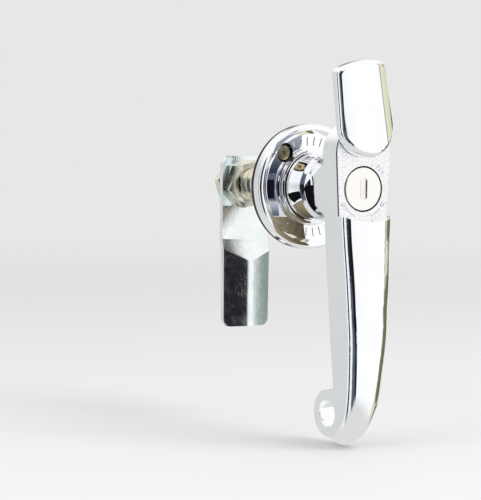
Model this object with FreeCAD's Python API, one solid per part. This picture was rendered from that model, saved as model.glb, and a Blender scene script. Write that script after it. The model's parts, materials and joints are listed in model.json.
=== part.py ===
import FreeCAD, Part

import math
import os

from FreeCAD import Vector

# Electrical cabinet handle lock, in millimetres.
# The origin is on the spindle axis, at the door's front face.
# X points to the right of someone facing the door, Y goes through the door
# away from them, and Z points up. Everything in front of the door has a
# negative Y. The handle hangs down and the dust cap is swung up.

# Fits shared by many pieces
RUN_CLEAR = 0.05        # radial clearance of a running fit
SLIP_CLEAR = 0.3        # room between pieces that move past each other
PRESS_CLEAR = 0.02      # room around a piece pressed into its seat
BREAK_EDGE = 0.3        # small chamfer on turned pieces

# Rosette, the round plate screwed to the door
ROSETTE_R = 26.0
GASKET_T = 2.0
GASKET_CLEAR = 0.15     # room between the gasket and what it lies round or inside
RIM_WALL = 3.1          # straight part of the outer wall
LIP_ROUND = 1.75        # radius of the rounded lip
LIP_FALL_DEG = 32.0     # slope inside the lip
LIP_FOOT_R = 21.9       # the slope ends and the dish starts here
DISH_SLOPE = 0.13       # the dish falls by this much per mm inwards
DISH_R = 16.3           # the dish is deepest here, at the foot of the bead
COLLAR_R = 15.3         # outer foot of the bead round the hub
COLLAR_OUT = 7.5        # bead, out from the door
BOSS_R = 15.0           # boss that fills the cut-out of the door
BOSS_DEPTH = 8.0        # boss behind the door's front face
SOCKET_DEPTH = 2.7      # how far the hub sinks into the bead

# Screws of the rosette
SCREW_COUNT = 2
SCREW_FROM_BOSS = 4.2   # from the boss to the middle of a screw
SCREW_ANGLE = 133.0     # first screw, counter-clockwise from the right
SCREW_R = 2.0
SCREW_NECK_R = 2.3      # thicker shank as far as the door
SCREW_HEAD_R = 3.05
SCREW_SEAT_R = 4.05
SCREW_HEAD_H = 1.3
SCREW_LENGTH = 12.0
SCREW_SINK = 0.8        # head below the bottom of the dish
SCREW_CROSS_W = 0.8
SCREW_CROSS_L = 3.5
SCREW_CROSS_DEPTH = 1.3
SCREW_CROSS_DEG = 20.0  # how far the cross is turned
SCREW_FUNNEL_R = 1.1    # cone in the middle of the cross
SCREW_FUNNEL_TIP_R = 0.5
SCREW_POINT = 1.0       # tapered end of the shank

# Hub of the handle, neck in the boss
HUB_R = 14.0
HUB_STEP_OUT = 18.8     # from the door to the end of the thick stage
HUB_NECK_R = 12.2       # thin stage, where the flare starts
HUB_FLARE_R = 16.0      # flare where it meets the handle
NECK_R = 11.0           # journal inside the boss
NECK_END = 16.5         # rear end of the journal, behind the door
HUB_BORE_R = 6.6

# Bush between neck and rosette
BUSH_WALL = 1.3
BUSH_FLANGE_T = 0.8
BUSH_FLANGE_R = 13.7
BUSH_LENGTH = 5.5

# Head of the handle
HEAD_R = 13.0
HEAD_CENTRE_Z = 14.0
HEAD_REAR = 33.0        # rear plane, out from the door
FACE_OUT = 42.9         # flat face round the lock, out from the door
HEAD_EDGE_R = 0.3
HEAD_BEVEL = 0.45
FACE_EDGE_L = 5.0        # shorter edges in the plane of the face stay sharp

# Grip
SIDE_TAPER = 0.0565     # each side narrows by this much per mm downwards
GRIP_REAR_DRIFT = 2.8   # the back leans forward by this much at the eye
GRIP_EDGE_X = 2.2       # how far the rounded edge reaches in from the side
GRIP_EDGE_Y = 3.3       # how far it reaches back
ARCH_RATIO = 0.25       # height of the arch over its half width
CREST = (               # front of the grip on its middle line: out, Z, roundness
    (49.9, -4.0, 0.0),
    (50.1, -14.0, 0.0),
    (50.6, -28.0, 0.0),
    (51.1, -40.0, 0.0),
    (51.3, -54.0, 0.0),
    (50.7, -67.0, 0.0),
    (49.6, -78.0, 0.05),
    (48.2, -86.5, 0.15),
    (46.2, -93.4, 0.45),
    (42.2, -99.2, 0.8),
    (37.0, -102.6, 1.0),
    (30.4, -103.8, 1.0),
)
GRIP_TURN = (29.0, -86.5)   # the end of the grip curves round this place: out, Z
CHANNEL_TOP_Z = -24.0
CHANNEL_BOTTOM_Z = -76.0
CHANNEL_WALL = 2.6
CHANNEL_CORNER_R = 2.0
CHANNEL_FLOOR_OUT = 44.6
HEEL_Z = -94.0          # below this the back of the grip curves to the eye
HEEL_OUT = 31.0

# Padlock eye at the back of the grip
EYE_OUT = 25.4
EYE_Z = -91.6
EYE_R = 9.6
EYE_HOLE_R = 5.7
EYE_T = 8.0

# Dust cap and its pivot
PIVOT_Z = 19.5
STEP_R = 32.2           # step at the top of the grip, round the pivot
CAP_REACH = 31.2        # far end of the cap, round the pivot
CAP_R = 12.6            # round end of the cap
CAP_OFFSET = 5.7        # from the pivot to the centre of the round end
CAP_TAPER = 0.042       # each side narrows by this much per mm
CAP_SKIRT = 3.4
CAP_ARCH = 3.6
CAP_WALL = 1.5
CAP_EDGE_R = 2.4
CAP_CORNER_R = 3.5
CAP_OPEN_DEG = 189.5    # from covering the lock to standing up
CAP_CLEAR = 0.2         # between the cap and the keyway's rim
CAP_BOSS_R = 4.2
PIN_R = 2.25
PIN_HEAD_R = 3.1
PIN_HEAD_T = 1.1
PIN_GRIP = 3.6          # length of pin inside the boss of the cap
SPRING_WASHER_T = 0.6
SPRING_WASHER_R = 3.0

# Lock cylinder
SLEEVE_R = 9.1
SLEEVE_LENGTH = 19.2
SLEEVE_SINK = 0.6       # front of the sleeve below the flat face
PLUG_HEAD_R = 8.6
PLUG_EDGE_R = 0.5
PLUG_HEAD_T = 2.9
PLUG_PROUD = 0.15       # plug in front of the flat face
PLUG_R = 6.2
PLUG_TAIL = 1.9         # plug behind the sleeve
KEYWAY_X = 0.6          # the keyway is a little to the right of the middle
KEYWAY_W = 2.3
KEYWAY_H = 8.6
KEYWAY_DEPTH = 17.0
KEYWAY_RIM_W = 0.7
KEYWAY_RIM_H = 0.1
SHUTTER_T = 0.5
SHUTTER_LAP = 0.9       # hidden edge of the shutter round the keyway
SHUTTER_DEPTH = 0.5     # shutter behind the front of the plug
WAFER_COUNT = 5
WAFER_T = 0.8
WAFER_PITCH = 2.4
WAFER_FIRST = 4.6       # first wafer behind the front of the plug
WAFER_W = 5.6
WAFER_H = 10.6
WAFER_WINDOW_W = 2.6
WAFER_WINDOW_H = 7.2
WAFER_EAR_W = 1.4
WAFER_EAR_H = 1.0
WAFER_EAR_Z = 0.9
WAFER_PLAY = 0.05
WAFER_SLOT_DEPTH = 1.3
SPRING_COIL_R = 0.42
SPRING_WIRE_R = 0.11
SPRING_LENGTH = 3.4
SPRING_TURNS = 5
CLIP_T = 0.8
CLIP_GROOVE_DEPTH = 0.9
CLIP_RIM = 1.5
CLIP_GAP_DEG = 70.0
SLEEVE_PIN_R = 1.2
SLEEVE_PIN_OUT = 35.8
SLEEVE_PIN_BITE = 1.1

# Driver on the tail of the plug, and the bolt that it moves
TANG_SIDE = 5.0
TANG_LENGTH = 2.4
DRIVER_DISC_R = 5.6
DRIVER_DISC_T = 3.2
DRIVER_STEM_R = 3.0
CRANK_R = 4.4
CRANK_T = 1.8
CRANK_THROW = 2.5
CRANK_PIN_R = 1.2
CRANK_START_DEG = 45.0
BOLT_NEAR = 1.0         # front face of the bolt, behind the door's face
BOLT_T = 4.0
BOLT_BODY_W = 10.6
BOLT_TONGUE_W = 5.0
BOLT_TONGUE_Z = -6.0    # the tongue starts here
BOLT_TOP = 4.7
BOLT_SINK = 0.4         # tip of the tongue below the neck's surface
BOLT_PLAY = 0.15
BOLT_TRAVEL = 2.0 * CRANK_THROW * math.sin(math.radians(CRANK_START_DEG))

# Turning stop and axial retention behind the boss
HANDLE_TURN = 90.0
STOP_PIN_R = 1.2
STOP_PIN_REACH = 13.4
STOP_PIN_Y = 6.7
STOP_RECESS_R = 13.9
STOP_RECESS_DEPTH = 2.6
STOP_PIN_ANGLE = 90.0   # the pin points up when the handle hangs down
THRUST_T = 1.0
THRUST_R = 14.7
DISC_SPRING_T = 0.5
DISC_SPRING_H = 1.1
DISC_SPRING_R = 14.4
CIRCLIP_T = 1.2
CIRCLIP_DEPTH = 1.1
CIRCLIP_RIM = 1.9
CIRCLIP_GAP_DEG = 34.0
CIRCLIP_EYE_R = 0.75
CROSS_PIN_R = 1.5
CROSS_PIN_Y = 14.4

# Spindle
SPINDLE_R = 7.0
SPINDLE_SHANK_R = 5.5
SPINDLE_SHANK_START = 8.2
SPINDLE_END = 59.2
THREAD_PITCH = 4.0
THREAD_DEPTH = 1.0
THREAD_CREST = 1.1
THREAD_ROOT = 0.9
THREAD_RUN_OUT = 3.6    # from the neck to the middle of the first groove
THREAD_POINT = 1.0      # chamfer at the free end
FLAT_ACROSS = 11.2
FLAT_START = 42.0

# Nuts, spring washer and cam plate
NUT_AF = 19.0
NUT_T = 5.0
FRONT_NUT_TURN = 14.0   # direction of one corner
REAR_NUT_TURN = -8.0
NUT_CHAMFER_DEG = 30.0
CAM_FRONT = 48.0
CAM_T = 2.4
CAM_W = 23.8
CAM_TAPER = 0.008      # each side narrows by this much per mm downwards
CAM_TOP_Z = 12.3
CAM_BOTTOM_Z = -63.2
CAM_TOP_CORNER_R = 5.0
CAM_BOTTOM_CORNER_R = 3.4
CAM_JOG_Z = -24.6       # the plate bends towards the door here
CAM_JOG_LENGTH = 9.6    # from the bend to the point of the ridge
CAM_JOG_DEPTH = 2.9     # top of the ridge in front of the flat part
CAM_RIDGE_X = 1.4       # the ridge is a little to the right of the middle
CAM_RIDGE_SLOPE = 0.13  # fall of the plate from the ridge to each side
CAM_RIDGE_R = 12.0      # rounding of the ridge
CAM_FOLD_R = 3.0        # rounding of the other folds
LOCK_WASHER_T = 2.4
LOCK_WASHER_W = 3.0
LOCK_WASHER_CUT_DEG = 12.0
LOCK_WASHER_TURN = 60.0 # direction of the cut

# Raised marks
MARK_H = 0.3
TICK_IN = 17.0
TICK_OUT = 20.6
TICK_W = 0.7
TICK_COUNT = 7
TICK_STEP = 10.0
TICKS_TOP_DEG = 96.0    # middle of the upper row, counter-clockwise from the right
TICKS_LOW_DEG = 264.0   # middle of the lower row
DIAL_R = 11.2
DIAL_LINE_W = 0.55
DIAL_SPAN = 26.0
DOT_R = 0.95

# Places worked out from the sizes above
LIP_R = ROSETTE_R - LIP_ROUND
SCREW_PCD = 2 * (BOSS_R + SCREW_FROM_BOSS)
RIM_END = -(GASKET_T + RIM_WALL)
LIP_Y = RIM_END - LIP_ROUND
LIP_FALL = math.radians(LIP_FALL_DEG)
LIP_END_R = LIP_R - LIP_ROUND * math.sin(LIP_FALL)
LIP_END_Y = LIP_Y + LIP_ROUND * (1 - math.cos(LIP_FALL))
LIP_FOOT_Y = LIP_END_Y + (LIP_END_R - LIP_FOOT_R) * math.tan(LIP_FALL)
DISH_Y = LIP_FOOT_Y + (LIP_FOOT_R - DISH_R) * DISH_SLOPE
COLLAR_Y = -COLLAR_OUT
SOCKET_FLOOR = COLLAR_Y + SOCKET_DEPTH
SOCKET_R = HUB_R + SLIP_CLEAR
HUB_BACK = SOCKET_FLOOR - BUSH_FLANGE_T - RUN_CLEAR
SCREW_TOP = DISH_Y + SCREW_SINK
FACE_Y = -FACE_OUT
REAR_Y = -HEAD_REAR
PLUG_FRONT = FACE_Y - PLUG_PROUD
PLUG_REAR = FACE_Y + SLEEVE_SINK + SLEEVE_LENGTH + PLUG_TAIL
SLEEVE_FRONT = FACE_Y + SLEEVE_SINK
SLEEVE_REAR = SLEEVE_FRONT + SLEEVE_LENGTH
CRANK_REAR = BOLT_NEAR - BOLT_PLAY - 0.2
BOLT_FAR = BOLT_NEAR + BOLT_T
CAP_REAR = PLUG_FRONT - KEYWAY_RIM_H - CAP_CLEAR
CAP_CREASE = CAP_REAR - CAP_SKIRT
CAP_TOP = CAP_CREASE - CAP_ARCH
THRUST_Y = BOSS_DEPTH + RUN_CLEAR
SPRING_Y = THRUST_Y + THRUST_T
CIRCLIP_Y = SPRING_Y + DISC_SPRING_H
PIN_SEAT_Y = REAR_Y - PIN_HEAD_T - SPRING_WASHER_T - 2 * RUN_CLEAR
PLUG_STEP = PLUG_FRONT + PLUG_HEAD_T
CLIP_Y = SLEEVE_REAR + RUN_CLEAR
FRONT_NUT_Y = CAM_FRONT - NUT_T
CAM_REAR = CAM_FRONT + CAM_T
REAR_NUT_Y = CAM_REAR + LOCK_WASHER_T
SHUTTER_Y = PLUG_FRONT + SHUTTER_DEPTH
AXIS_Y = Vector(0, 1, 0)
PAST = 1.0              # cuts run past a surface by this much
NEAR = 0.03              # two lengths this close count as the same
FAR = 60.0              # longer than any cut needs


def polar(radius, degrees, y=0.0):
    turn = math.radians(degrees)
    return Vector(radius * math.cos(turn), y, radius * math.sin(turn))


def rod(radius, y0, y1, x=0.0, z=0.0):
    return Part.makeCylinder(radius, y1 - y0, Vector(x, y0, z), AXIS_Y)


def tube(outer, inner, y0, y1):
    return rod(outer, y0, y1).cut(rod(inner, y0 - 1, y1 + 1))


def block(x0, x1, y0, y1, z0, z1):
    return Part.makeBox(x1 - x0, y1 - y0, z1 - z0, Vector(x0, y0, z0))


def wire_of(points):
    return Part.makePolygon([Vector(*point) for point in points] + [Vector(*points[0])])


def turned(profile):
    """Turn a profile of (radius, y) steps about the Y axis.

    A step of four numbers is an arc: a point on it, then its end.
    """
    edges = []
    start = Vector(profile[0][0], profile[0][1], 0)
    first = start
    for step in profile[1:]:
        end = Vector(step[-2], step[-1], 0)
        if len(step) == 4:
            edges.append(Part.Arc(start, Vector(step[0], step[1], 0), end).toShape())
        else:
            edges.append(Part.makeLine(start, end))
        start = end
    edges.append(Part.makeLine(start, first))
    face = Part.Face(Part.Wire(edges))
    return face.revolve(Vector(0, 0, 0), AXIS_Y, 360)


def sector(outer, inner, y0, y1, middle_deg, span_deg):
    """A part of a ring, from its middle angle and its span."""
    start = math.radians(middle_deg - span_deg / 2)
    end = math.radians(middle_deg + span_deg / 2)
    halfway = (start + end) / 2

    def at(radius, angle):
        return Vector(radius * math.cos(angle), y0, radius * math.sin(angle))

    edges = [
        Part.Arc(at(outer, start), at(outer, halfway), at(outer, end)).toShape(),
        Part.makeLine(at(outer, end), at(inner, end)),
        Part.Arc(at(inner, end), at(inner, halfway), at(inner, start)).toShape(),
        Part.makeLine(at(inner, start), at(outer, start)),
    ]
    return Part.Face(Part.Wire(edges)).extrude(Vector(0, y1 - y0, 0))


def turn_about(shape, degrees, x=0.0, z=0.0):
    """Turn a copy counter-clockwise, as seen from the front."""
    copy = shape.copy()
    copy.rotate(Vector(x, 0, z), Vector(0, -1, 0), degrees)
    return copy


def side_width(z):
    """Half the width of the handle at a height below the head's centre."""
    return HEAD_R - SIDE_TAPER * (HEAD_CENTRE_Z - z)


def screw_places():
    step = 360.0 / SCREW_COUNT
    return [polar(SCREW_PCD / 2, SCREW_ANGLE + step * n) for n in range(SCREW_COUNT)]


def rosette():
    outer = LIP_ROUND * (1 - math.cos(math.radians(45)))
    half_fall = LIP_FALL / 2
    rise = DISH_Y - COLLAR_Y
    body = turned([
        (NECK_R + SLIP_CLEAR, BOSS_DEPTH),
        (BOSS_R - BREAK_EDGE, BOSS_DEPTH),
        (BOSS_R, BOSS_DEPTH - BREAK_EDGE),
        (BOSS_R, -GASKET_T),
        (ROSETTE_R, -GASKET_T),
        (ROSETTE_R, RIM_END),
        (ROSETTE_R - outer, LIP_Y + outer, LIP_R, LIP_Y),
        (LIP_R - LIP_ROUND * math.sin(half_fall), LIP_Y + LIP_ROUND * (1 - math.cos(half_fall)),
         LIP_END_R, LIP_END_Y),
        (LIP_FOOT_R, LIP_FOOT_Y),
        (DISH_R, DISH_Y),
        (mix(DISH_R, COLLAR_R, 0.75), DISH_Y - rise * 0.18, COLLAR_R, DISH_Y - rise * 0.55),
        (COLLAR_R - 0.15, COLLAR_Y - 0.02, SOCKET_R, COLLAR_Y + 0.15),
        (SOCKET_R, SOCKET_FLOOR),
        (NECK_R + RUN_CLEAR + BUSH_WALL, SOCKET_FLOOR),
        (NECK_R + RUN_CLEAR + BUSH_WALL, SOCKET_FLOOR + BUSH_LENGTH),
        (NECK_R + SLIP_CLEAR, SOCKET_FLOOR + BUSH_LENGTH),
    ])
    for n in range(TICK_COUNT):
        lean = (n - (TICK_COUNT - 1) / 2) * TICK_STEP
        for middle in (TICKS_TOP_DEG, TICKS_LOW_DEG):
            body = body.fuse(rosette_tick(middle + lean))
    for place in screw_places():
        body = body.cut(screw_seat(place))
    for angle in (-90.0, -90.0 + HANDLE_TURN):
        body = body.cut(bolt_notch(angle))
    return body.cut(stop_recess())


def dish_at(radius):
    return DISH_Y - DISH_SLOPE * (radius - DISH_R)


def rosette_tick(angle):
    """Raised tick whose top follows the slope of the dish."""
    profile = Part.Face(wire_of([
        (TICK_IN, dish_at(TICK_IN) - MARK_H, -TICK_W / 2),
        (TICK_OUT, dish_at(TICK_OUT) - MARK_H, -TICK_W / 2),
        (TICK_OUT, DISH_Y + PAST, -TICK_W / 2),
        (TICK_IN, DISH_Y + PAST, -TICK_W / 2),
    ]))
    return turn_about(profile.extrude(Vector(0, 0, TICK_W)), angle)


def screw_seat(place):
    """Counterbore, cone and hole for one countersunk screw."""
    seat_top = rod(SCREW_SEAT_R, COLLAR_Y - PAST, SCREW_TOP, place.x, place.z)
    cone = Part.makeCone(SCREW_HEAD_R + RUN_CLEAR, SCREW_NECK_R + RUN_CLEAR, SCREW_HEAD_H,
                         Vector(place.x, SCREW_TOP, place.z), AXIS_Y)
    hole = rod(SCREW_NECK_R + RUN_CLEAR, SCREW_TOP, BOSS_DEPTH + PAST, place.x, place.z)
    return seat_top.fuse([cone, hole])


def bolt_notch(angle):
    """Notch in the boss for the tongue of the bolt, pointing to an angle."""
    half = BOLT_TONGUE_W / 2 + SLIP_CLEAR
    reach = NECK_R - BOLT_SINK + BOLT_TRAVEL + SLIP_CLEAR
    notch = block(NECK_R - 1, reach, BOLT_NEAR - SLIP_CLEAR, BOLT_FAR + SLIP_CLEAR, -half, half)
    return turn_about(notch, angle)


def stop_recess():
    """Recess in the end of the boss where the stop pin swings."""
    pin_half = math.degrees(math.asin(STOP_PIN_R / NECK_R))
    room = math.degrees(SLIP_CLEAR / NECK_R)
    span = HANDLE_TURN + 2 * (pin_half + room)
    middle = STOP_PIN_ANGLE + HANDLE_TURN / 2
    return sector(STOP_RECESS_R, NECK_R - 1, BOSS_DEPTH - STOP_RECESS_DEPTH,
                  BOSS_DEPTH + 1, middle, span)


def door_gasket():
    ring = tube(ROSETTE_R - GASKET_CLEAR, BOSS_R + GASKET_CLEAR, -GASKET_T, 0.0)
    for place in screw_places():
        hole = rod(SCREW_NECK_R + GASKET_CLEAR, -GASKET_T - PAST, PAST, place.x, place.z)
        ring = ring.cut(hole)
    return ring


def rosette_screw(place):
    head = Part.makeCone(SCREW_HEAD_R, SCREW_NECK_R, SCREW_HEAD_H,
                         Vector(place.x, SCREW_TOP, place.z), AXIS_Y)
    neck_end = SLIP_CLEAR
    tip_start = SCREW_TOP + SCREW_LENGTH - SCREW_POINT
    neck = rod(SCREW_NECK_R, SCREW_TOP + SCREW_HEAD_H / 2, neck_end, place.x, place.z)
    shank = rod(SCREW_R, neck_end - PAST, tip_start, place.x, place.z)
    tip = Part.makeCone(SCREW_R, SCREW_R * 0.6, SCREW_POINT,
                        Vector(place.x, tip_start, place.z), AXIS_Y)
    screw = head.fuse([neck, shank, tip])
    half_l = SCREW_CROSS_L / 2
    half_w = SCREW_CROSS_W / 2
    cross = block(-half_l, half_l, 0, SCREW_CROSS_DEPTH, -half_w, half_w)
    cross = cross.fuse(block(-half_w, half_w, 0, SCREW_CROSS_DEPTH, -half_l, half_l))
    cross = turn_about(cross, SCREW_CROSS_DEG)
    cross.translate(Vector(place.x, SCREW_TOP - NEAR, place.z))
    funnel = Part.makeCone(SCREW_FUNNEL_R, SCREW_FUNNEL_TIP_R, SCREW_CROSS_DEPTH + SLIP_CLEAR,
                           Vector(place.x, SCREW_TOP - NEAR, place.z), AXIS_Y)
    return screw.cut(cross).cut(funnel)


def rosette_screws():
    return Part.Compound([rosette_screw(place) for place in screw_places()])


def hub_bush():
    outer = NECK_R + RUN_CLEAR + BUSH_WALL - PRESS_CLEAR
    barrel = tube(outer, NECK_R + RUN_CLEAR, SOCKET_FLOOR, SOCKET_FLOOR + BUSH_LENGTH)
    flange = tube(BUSH_FLANGE_R, NECK_R + RUN_CLEAR, SOCKET_FLOOR - BUSH_FLANGE_T, SOCKET_FLOOR)
    return barrel.fuse(flange)


def handle_outline(y0, y1):
    """Front view of the head and the top of the grip, between two planes."""
    low_z = -FAR
    low = side_width(low_z)
    edges = [
        Part.Arc(Vector(HEAD_R, y0, HEAD_CENTRE_Z), Vector(0, y0, HEAD_CENTRE_Z + HEAD_R),
                 Vector(-HEAD_R, y0, HEAD_CENTRE_Z)).toShape(),
        Part.makeLine(Vector(-HEAD_R, y0, HEAD_CENTRE_Z), Vector(-low, y0, low_z)),
        Part.makeLine(Vector(-low, y0, low_z), Vector(low, y0, low_z)),
        Part.makeLine(Vector(low, y0, low_z), Vector(HEAD_R, y0, HEAD_CENTRE_Z)),
    ]
    return Part.Face(Part.Wire(edges)).extrude(Vector(0, y1 - y0, 0))


def mix(start, end, share):
    return start + (end - start) * share


def grip_section(out, z, roundness):
    """Cross-section of the grip: flat arch at the top, half round at the end.

    Its plane is level down to the place where the end starts to curve, and
    turns round that place below it.
    """
    turn_out, turn_z = GRIP_TURN
    root = Vector(0, -turn_out, max(z, turn_z))
    crest = Vector(0, -out, z)
    inward = (root - crest).normalize()
    half = side_width(z)
    arch_x = mix(half - GRIP_EDGE_X, half * math.sin(math.radians(60)), roundness)
    arch_drop = ARCH_RATIO * half * (1 - GRIP_EDGE_X / half) ** 2
    arch_in = mix(arch_drop, half * (1 - math.cos(math.radians(60))), roundness)
    edge_x = mix(half - GRIP_EDGE_X * 0.28, half * math.sin(math.radians(75)), roundness)
    edge_in = mix(arch_drop + GRIP_EDGE_Y * 0.39, half * (1 - math.cos(math.radians(75))),
                  roundness)
    side_in = mix(arch_drop + GRIP_EDGE_Y, half, roundness)

    def at(x, depth):
        return crest + inward * depth + Vector(x, 0, 0)

    base = crest.distanceToPoint(root) - 1.0
    corners = [at(half, base), at(half, side_in), at(arch_x, arch_in)]
    mirror = [at(-arch_x, arch_in), at(-half, side_in), at(-half, base)]
    edges = [
        Part.makeLine(mirror[2], corners[0]),
        Part.makeLine(corners[0], corners[1]),
        Part.Arc(corners[1], at(edge_x, edge_in), corners[2]).toShape(),
        Part.Arc(corners[2], crest, mirror[0]).toShape(),
        Part.Arc(mirror[0], at(-edge_x, edge_in), mirror[1]).toShape(),
        Part.makeLine(mirror[1], mirror[2]),
    ]
    return Part.Wire(edges)


def grip_back():
    """Everything in front of the back of the handle, from the side."""
    low_out = HEAD_REAR + GRIP_REAR_DRIFT
    start_z = CHANNEL_TOP_Z
    mid_z = (start_z + HEEL_Z) / 2
    top = HEAD_CENTRE_Z + HEAD_R + 5
    low_z = -2 * FAR

    def at(out, z):
        return Vector(-FAR, -out, z)

    edges = [
        Part.makeLine(at(HEAD_REAR, top), at(HEAD_REAR, start_z)),
        Part.Arc(at(HEAD_REAR, start_z), at(HEAD_REAR + GRIP_REAR_DRIFT * 0.42, mid_z),
                 at(low_out, HEEL_Z)).toShape(),
        Part.Arc(at(low_out, HEEL_Z), at(low_out - 1.1, HEEL_Z - 4.0),
                 at(HEEL_OUT, HEEL_Z - 7.2)).toShape(),
        Part.makeLine(at(HEEL_OUT, HEEL_Z - 7.2), at(HEEL_OUT, low_z)),
        Part.makeLine(at(HEEL_OUT, low_z), at(FAR, low_z)),
        Part.makeLine(at(FAR, low_z), at(FAR, top)),
        Part.makeLine(at(FAR, top), at(HEAD_REAR, top)),
    ]
    return Part.Face(Part.Wire(edges)).extrude(Vector(2 * FAR, 0, 0))


def grip():
    sections = [grip_section(*row) for row in CREST]
    shell = Part.makeLoft(sections, True, False).common(grip_back())
    return shell.cut(rod(STEP_R, -FAR, FACE_Y, 0.0, PIVOT_Z))


def head():
    low_z = CREST[0][1]
    return handle_outline(FACE_Y, REAR_Y).common(block(-FAR, FAR, FACE_Y, REAR_Y, low_z, FAR))


def hub():
    """Neck, thick stage and flare, cut flush with the sides of the head."""
    shape = turned([
        (0, REAR_Y),
        (HUB_FLARE_R, REAR_Y),
        ((HUB_NECK_R + HUB_FLARE_R) / 2 - 0.55, (REAR_Y - HUB_STEP_OUT) / 2,
         HUB_NECK_R, -HUB_STEP_OUT),
        (HUB_R - BREAK_EDGE, -HUB_STEP_OUT),
        (HUB_R, -HUB_STEP_OUT + BREAK_EDGE),
        (HUB_R, HUB_BACK),
        (NECK_R, HUB_BACK),
        (NECK_R, CIRCLIP_Y),
        (NECK_R - CIRCLIP_DEPTH, CIRCLIP_Y),
        (NECK_R - CIRCLIP_DEPTH, CIRCLIP_Y + CIRCLIP_T),
        (NECK_R, CIRCLIP_Y + CIRCLIP_T),
        (NECK_R, NECK_END - BREAK_EDGE),
        (NECK_R - BREAK_EDGE, NECK_END),
        (0, NECK_END),
    ])
    flare = shape.common(handle_outline(REAR_Y, -HUB_STEP_OUT))
    barrel = shape.common(rod(FAR, -HUB_STEP_OUT, NECK_END))
    return flare.fuse(barrel)


def padlock_eye():
    half = EYE_T / 2
    centre = Vector(-half, -EYE_OUT, EYE_Z)
    disc = Part.makeCylinder(EYE_R, EYE_T, centre, Vector(1, 0, 0))
    reach = HEAD_REAR + GRIP_REAR_DRIFT + 2.0
    web = block(-half, half, -reach, -EYE_OUT, EYE_Z - EYE_R, EYE_Z + EYE_R)
    hole = Part.makeCylinder(EYE_HOLE_R, EYE_T + 2, Vector(-half - 1, -EYE_OUT, EYE_Z),
                             Vector(1, 0, 0))
    return disc.fuse(web), hole


def grip_channel():
    """Open channel in the back of the grip that keeps its walls even."""
    top = side_width(CHANNEL_TOP_Z) - CHANNEL_WALL
    low = side_width(CHANNEL_BOTTOM_Z) - CHANNEL_WALL
    wire = wire_of([
        (-top, -CHANNEL_FLOOR_OUT, CHANNEL_TOP_Z),
        (top, -CHANNEL_FLOOR_OUT, CHANNEL_TOP_Z),
        (low, -CHANNEL_FLOOR_OUT, CHANNEL_BOTTOM_Z),
        (-low, -CHANNEL_FLOOR_OUT, CHANNEL_BOTTOM_Z),
    ])
    solid = Part.Face(wire).extrude(Vector(0, FAR, 0))
    corners = [edge for edge in solid.Edges if edge.BoundBox.YLength > FAR / 2]
    return solid.makeFillet(CHANNEL_CORNER_R, corners)


def hub_cuts():
    """Bores for the cylinder, the driver, the bolt, pins and the spindle."""
    cuts = [
        rod(SLEEVE_R + PRESS_CLEAR, FACE_Y - 1, SLEEVE_REAR),
        rod(PLUG_R + CLIP_RIM + 0.5, SLEEVE_REAR - 1, PLUG_REAR + DRIVER_DISC_T + 0.6),
        rod(HUB_BORE_R, SLEEVE_REAR, BOLT_NEAR - BOLT_PLAY),
        bolt_channel(),
        rod(SPINDLE_SHANK_R + PRESS_CLEAR, SPINDLE_SHANK_START, NECK_END + 1),
        rod(PIN_R + RUN_CLEAR, FACE_Y - 1, REAR_Y + 1, 0, PIVOT_Z),
        rod(PIN_HEAD_R + SLIP_CLEAR, PIN_SEAT_Y, REAR_Y + 0.5, 0, PIVOT_Z),
        radial_rod(STOP_PIN_R + PRESS_CLEAR, SPINDLE_SHANK_R + 1.0, NECK_R + 1,
                   STOP_PIN_Y, STOP_PIN_ANGLE),
        cross_pin_rod(CROSS_PIN_R + PRESS_CLEAR, NECK_R + 1),
        sleeve_pin_rod(SLEEVE_PIN_R + PRESS_CLEAR, CHANNEL_TOP_Z - 1, 1.0),
    ]
    return cuts


def bolt_channel():
    half = BOLT_BODY_W / 2 + BOLT_PLAY
    tongue = BOLT_TONGUE_W / 2 + BOLT_PLAY
    y0 = BOLT_NEAR - BOLT_PLAY
    y1 = BOLT_FAR + BOLT_PLAY
    low = BOLT_TONGUE_Z - BOLT_TRAVEL - BOLT_PLAY
    wide = block(-half, half, y0, y1, low, BOLT_TOP + BOLT_PLAY)
    narrow = block(-tongue, tongue, y0, y1, -NECK_R - 1, low + 1)
    return wide.fuse(narrow)


def radial_rod(radius, inner, outer, y, angle):
    direction = polar(1.0, angle)
    return Part.makeCylinder(radius, outer - inner, polar(inner, angle, y), direction)


def cross_pin_rod(radius, reach):
    return Part.makeCylinder(radius, 2 * reach, Vector(-reach, CROSS_PIN_Y, 0), Vector(1, 0, 0))


def sleeve_pin_rod(radius, low_z, extra):
    top = -(SLEEVE_R - SLEEVE_PIN_BITE) + extra
    return Part.makeCylinder(radius, top - low_z, Vector(0, -SLEEVE_PIN_OUT, low_z),
                             Vector(0, 0, 1))


def dial_marks():
    """Plain raised marks round the lock: a dot, a ring, ticks and lines."""
    y0 = FACE_Y - MARK_H
    y1 = FACE_Y + 0.4
    outer = DIAL_R + DIAL_LINE_W / 2
    inner = DIAL_R - DIAL_LINE_W / 2
    dot = polar(DIAL_R, 214.0)
    ring = polar(DIAL_R, 326.0)
    marks = [
        rod(DOT_R, y0, y1, dot.x, dot.z),
        rod(DOT_R, y0, y1, ring.x, ring.z).cut(rod(DOT_R * 0.5, y0 - 1, y1 + 1, ring.x, ring.z)),
        sector(outer, inner, y0, y1, 236.0, DIAL_SPAN),
        sector(outer, inner, y0, y1, 304.0, DIAL_SPAN),
    ]
    for angle in (36.0, 44.0, 52.0):
        tick = block(DIAL_R - 0.8, DIAL_R + 0.8, y0, y1, -DIAL_LINE_W / 2, DIAL_LINE_W / 2)
        marks.append(turn_about(tick, angle))
    return marks


def level_edges(body, y):
    """Edges that lie in one upright plane parallel to the door."""
    boxes = [(edge, edge.BoundBox) for edge in body.Edges]
    return [(edge, box) for edge, box in boxes if max(abs(box.YMin - y), abs(box.YMax - y)) < NEAR]


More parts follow.
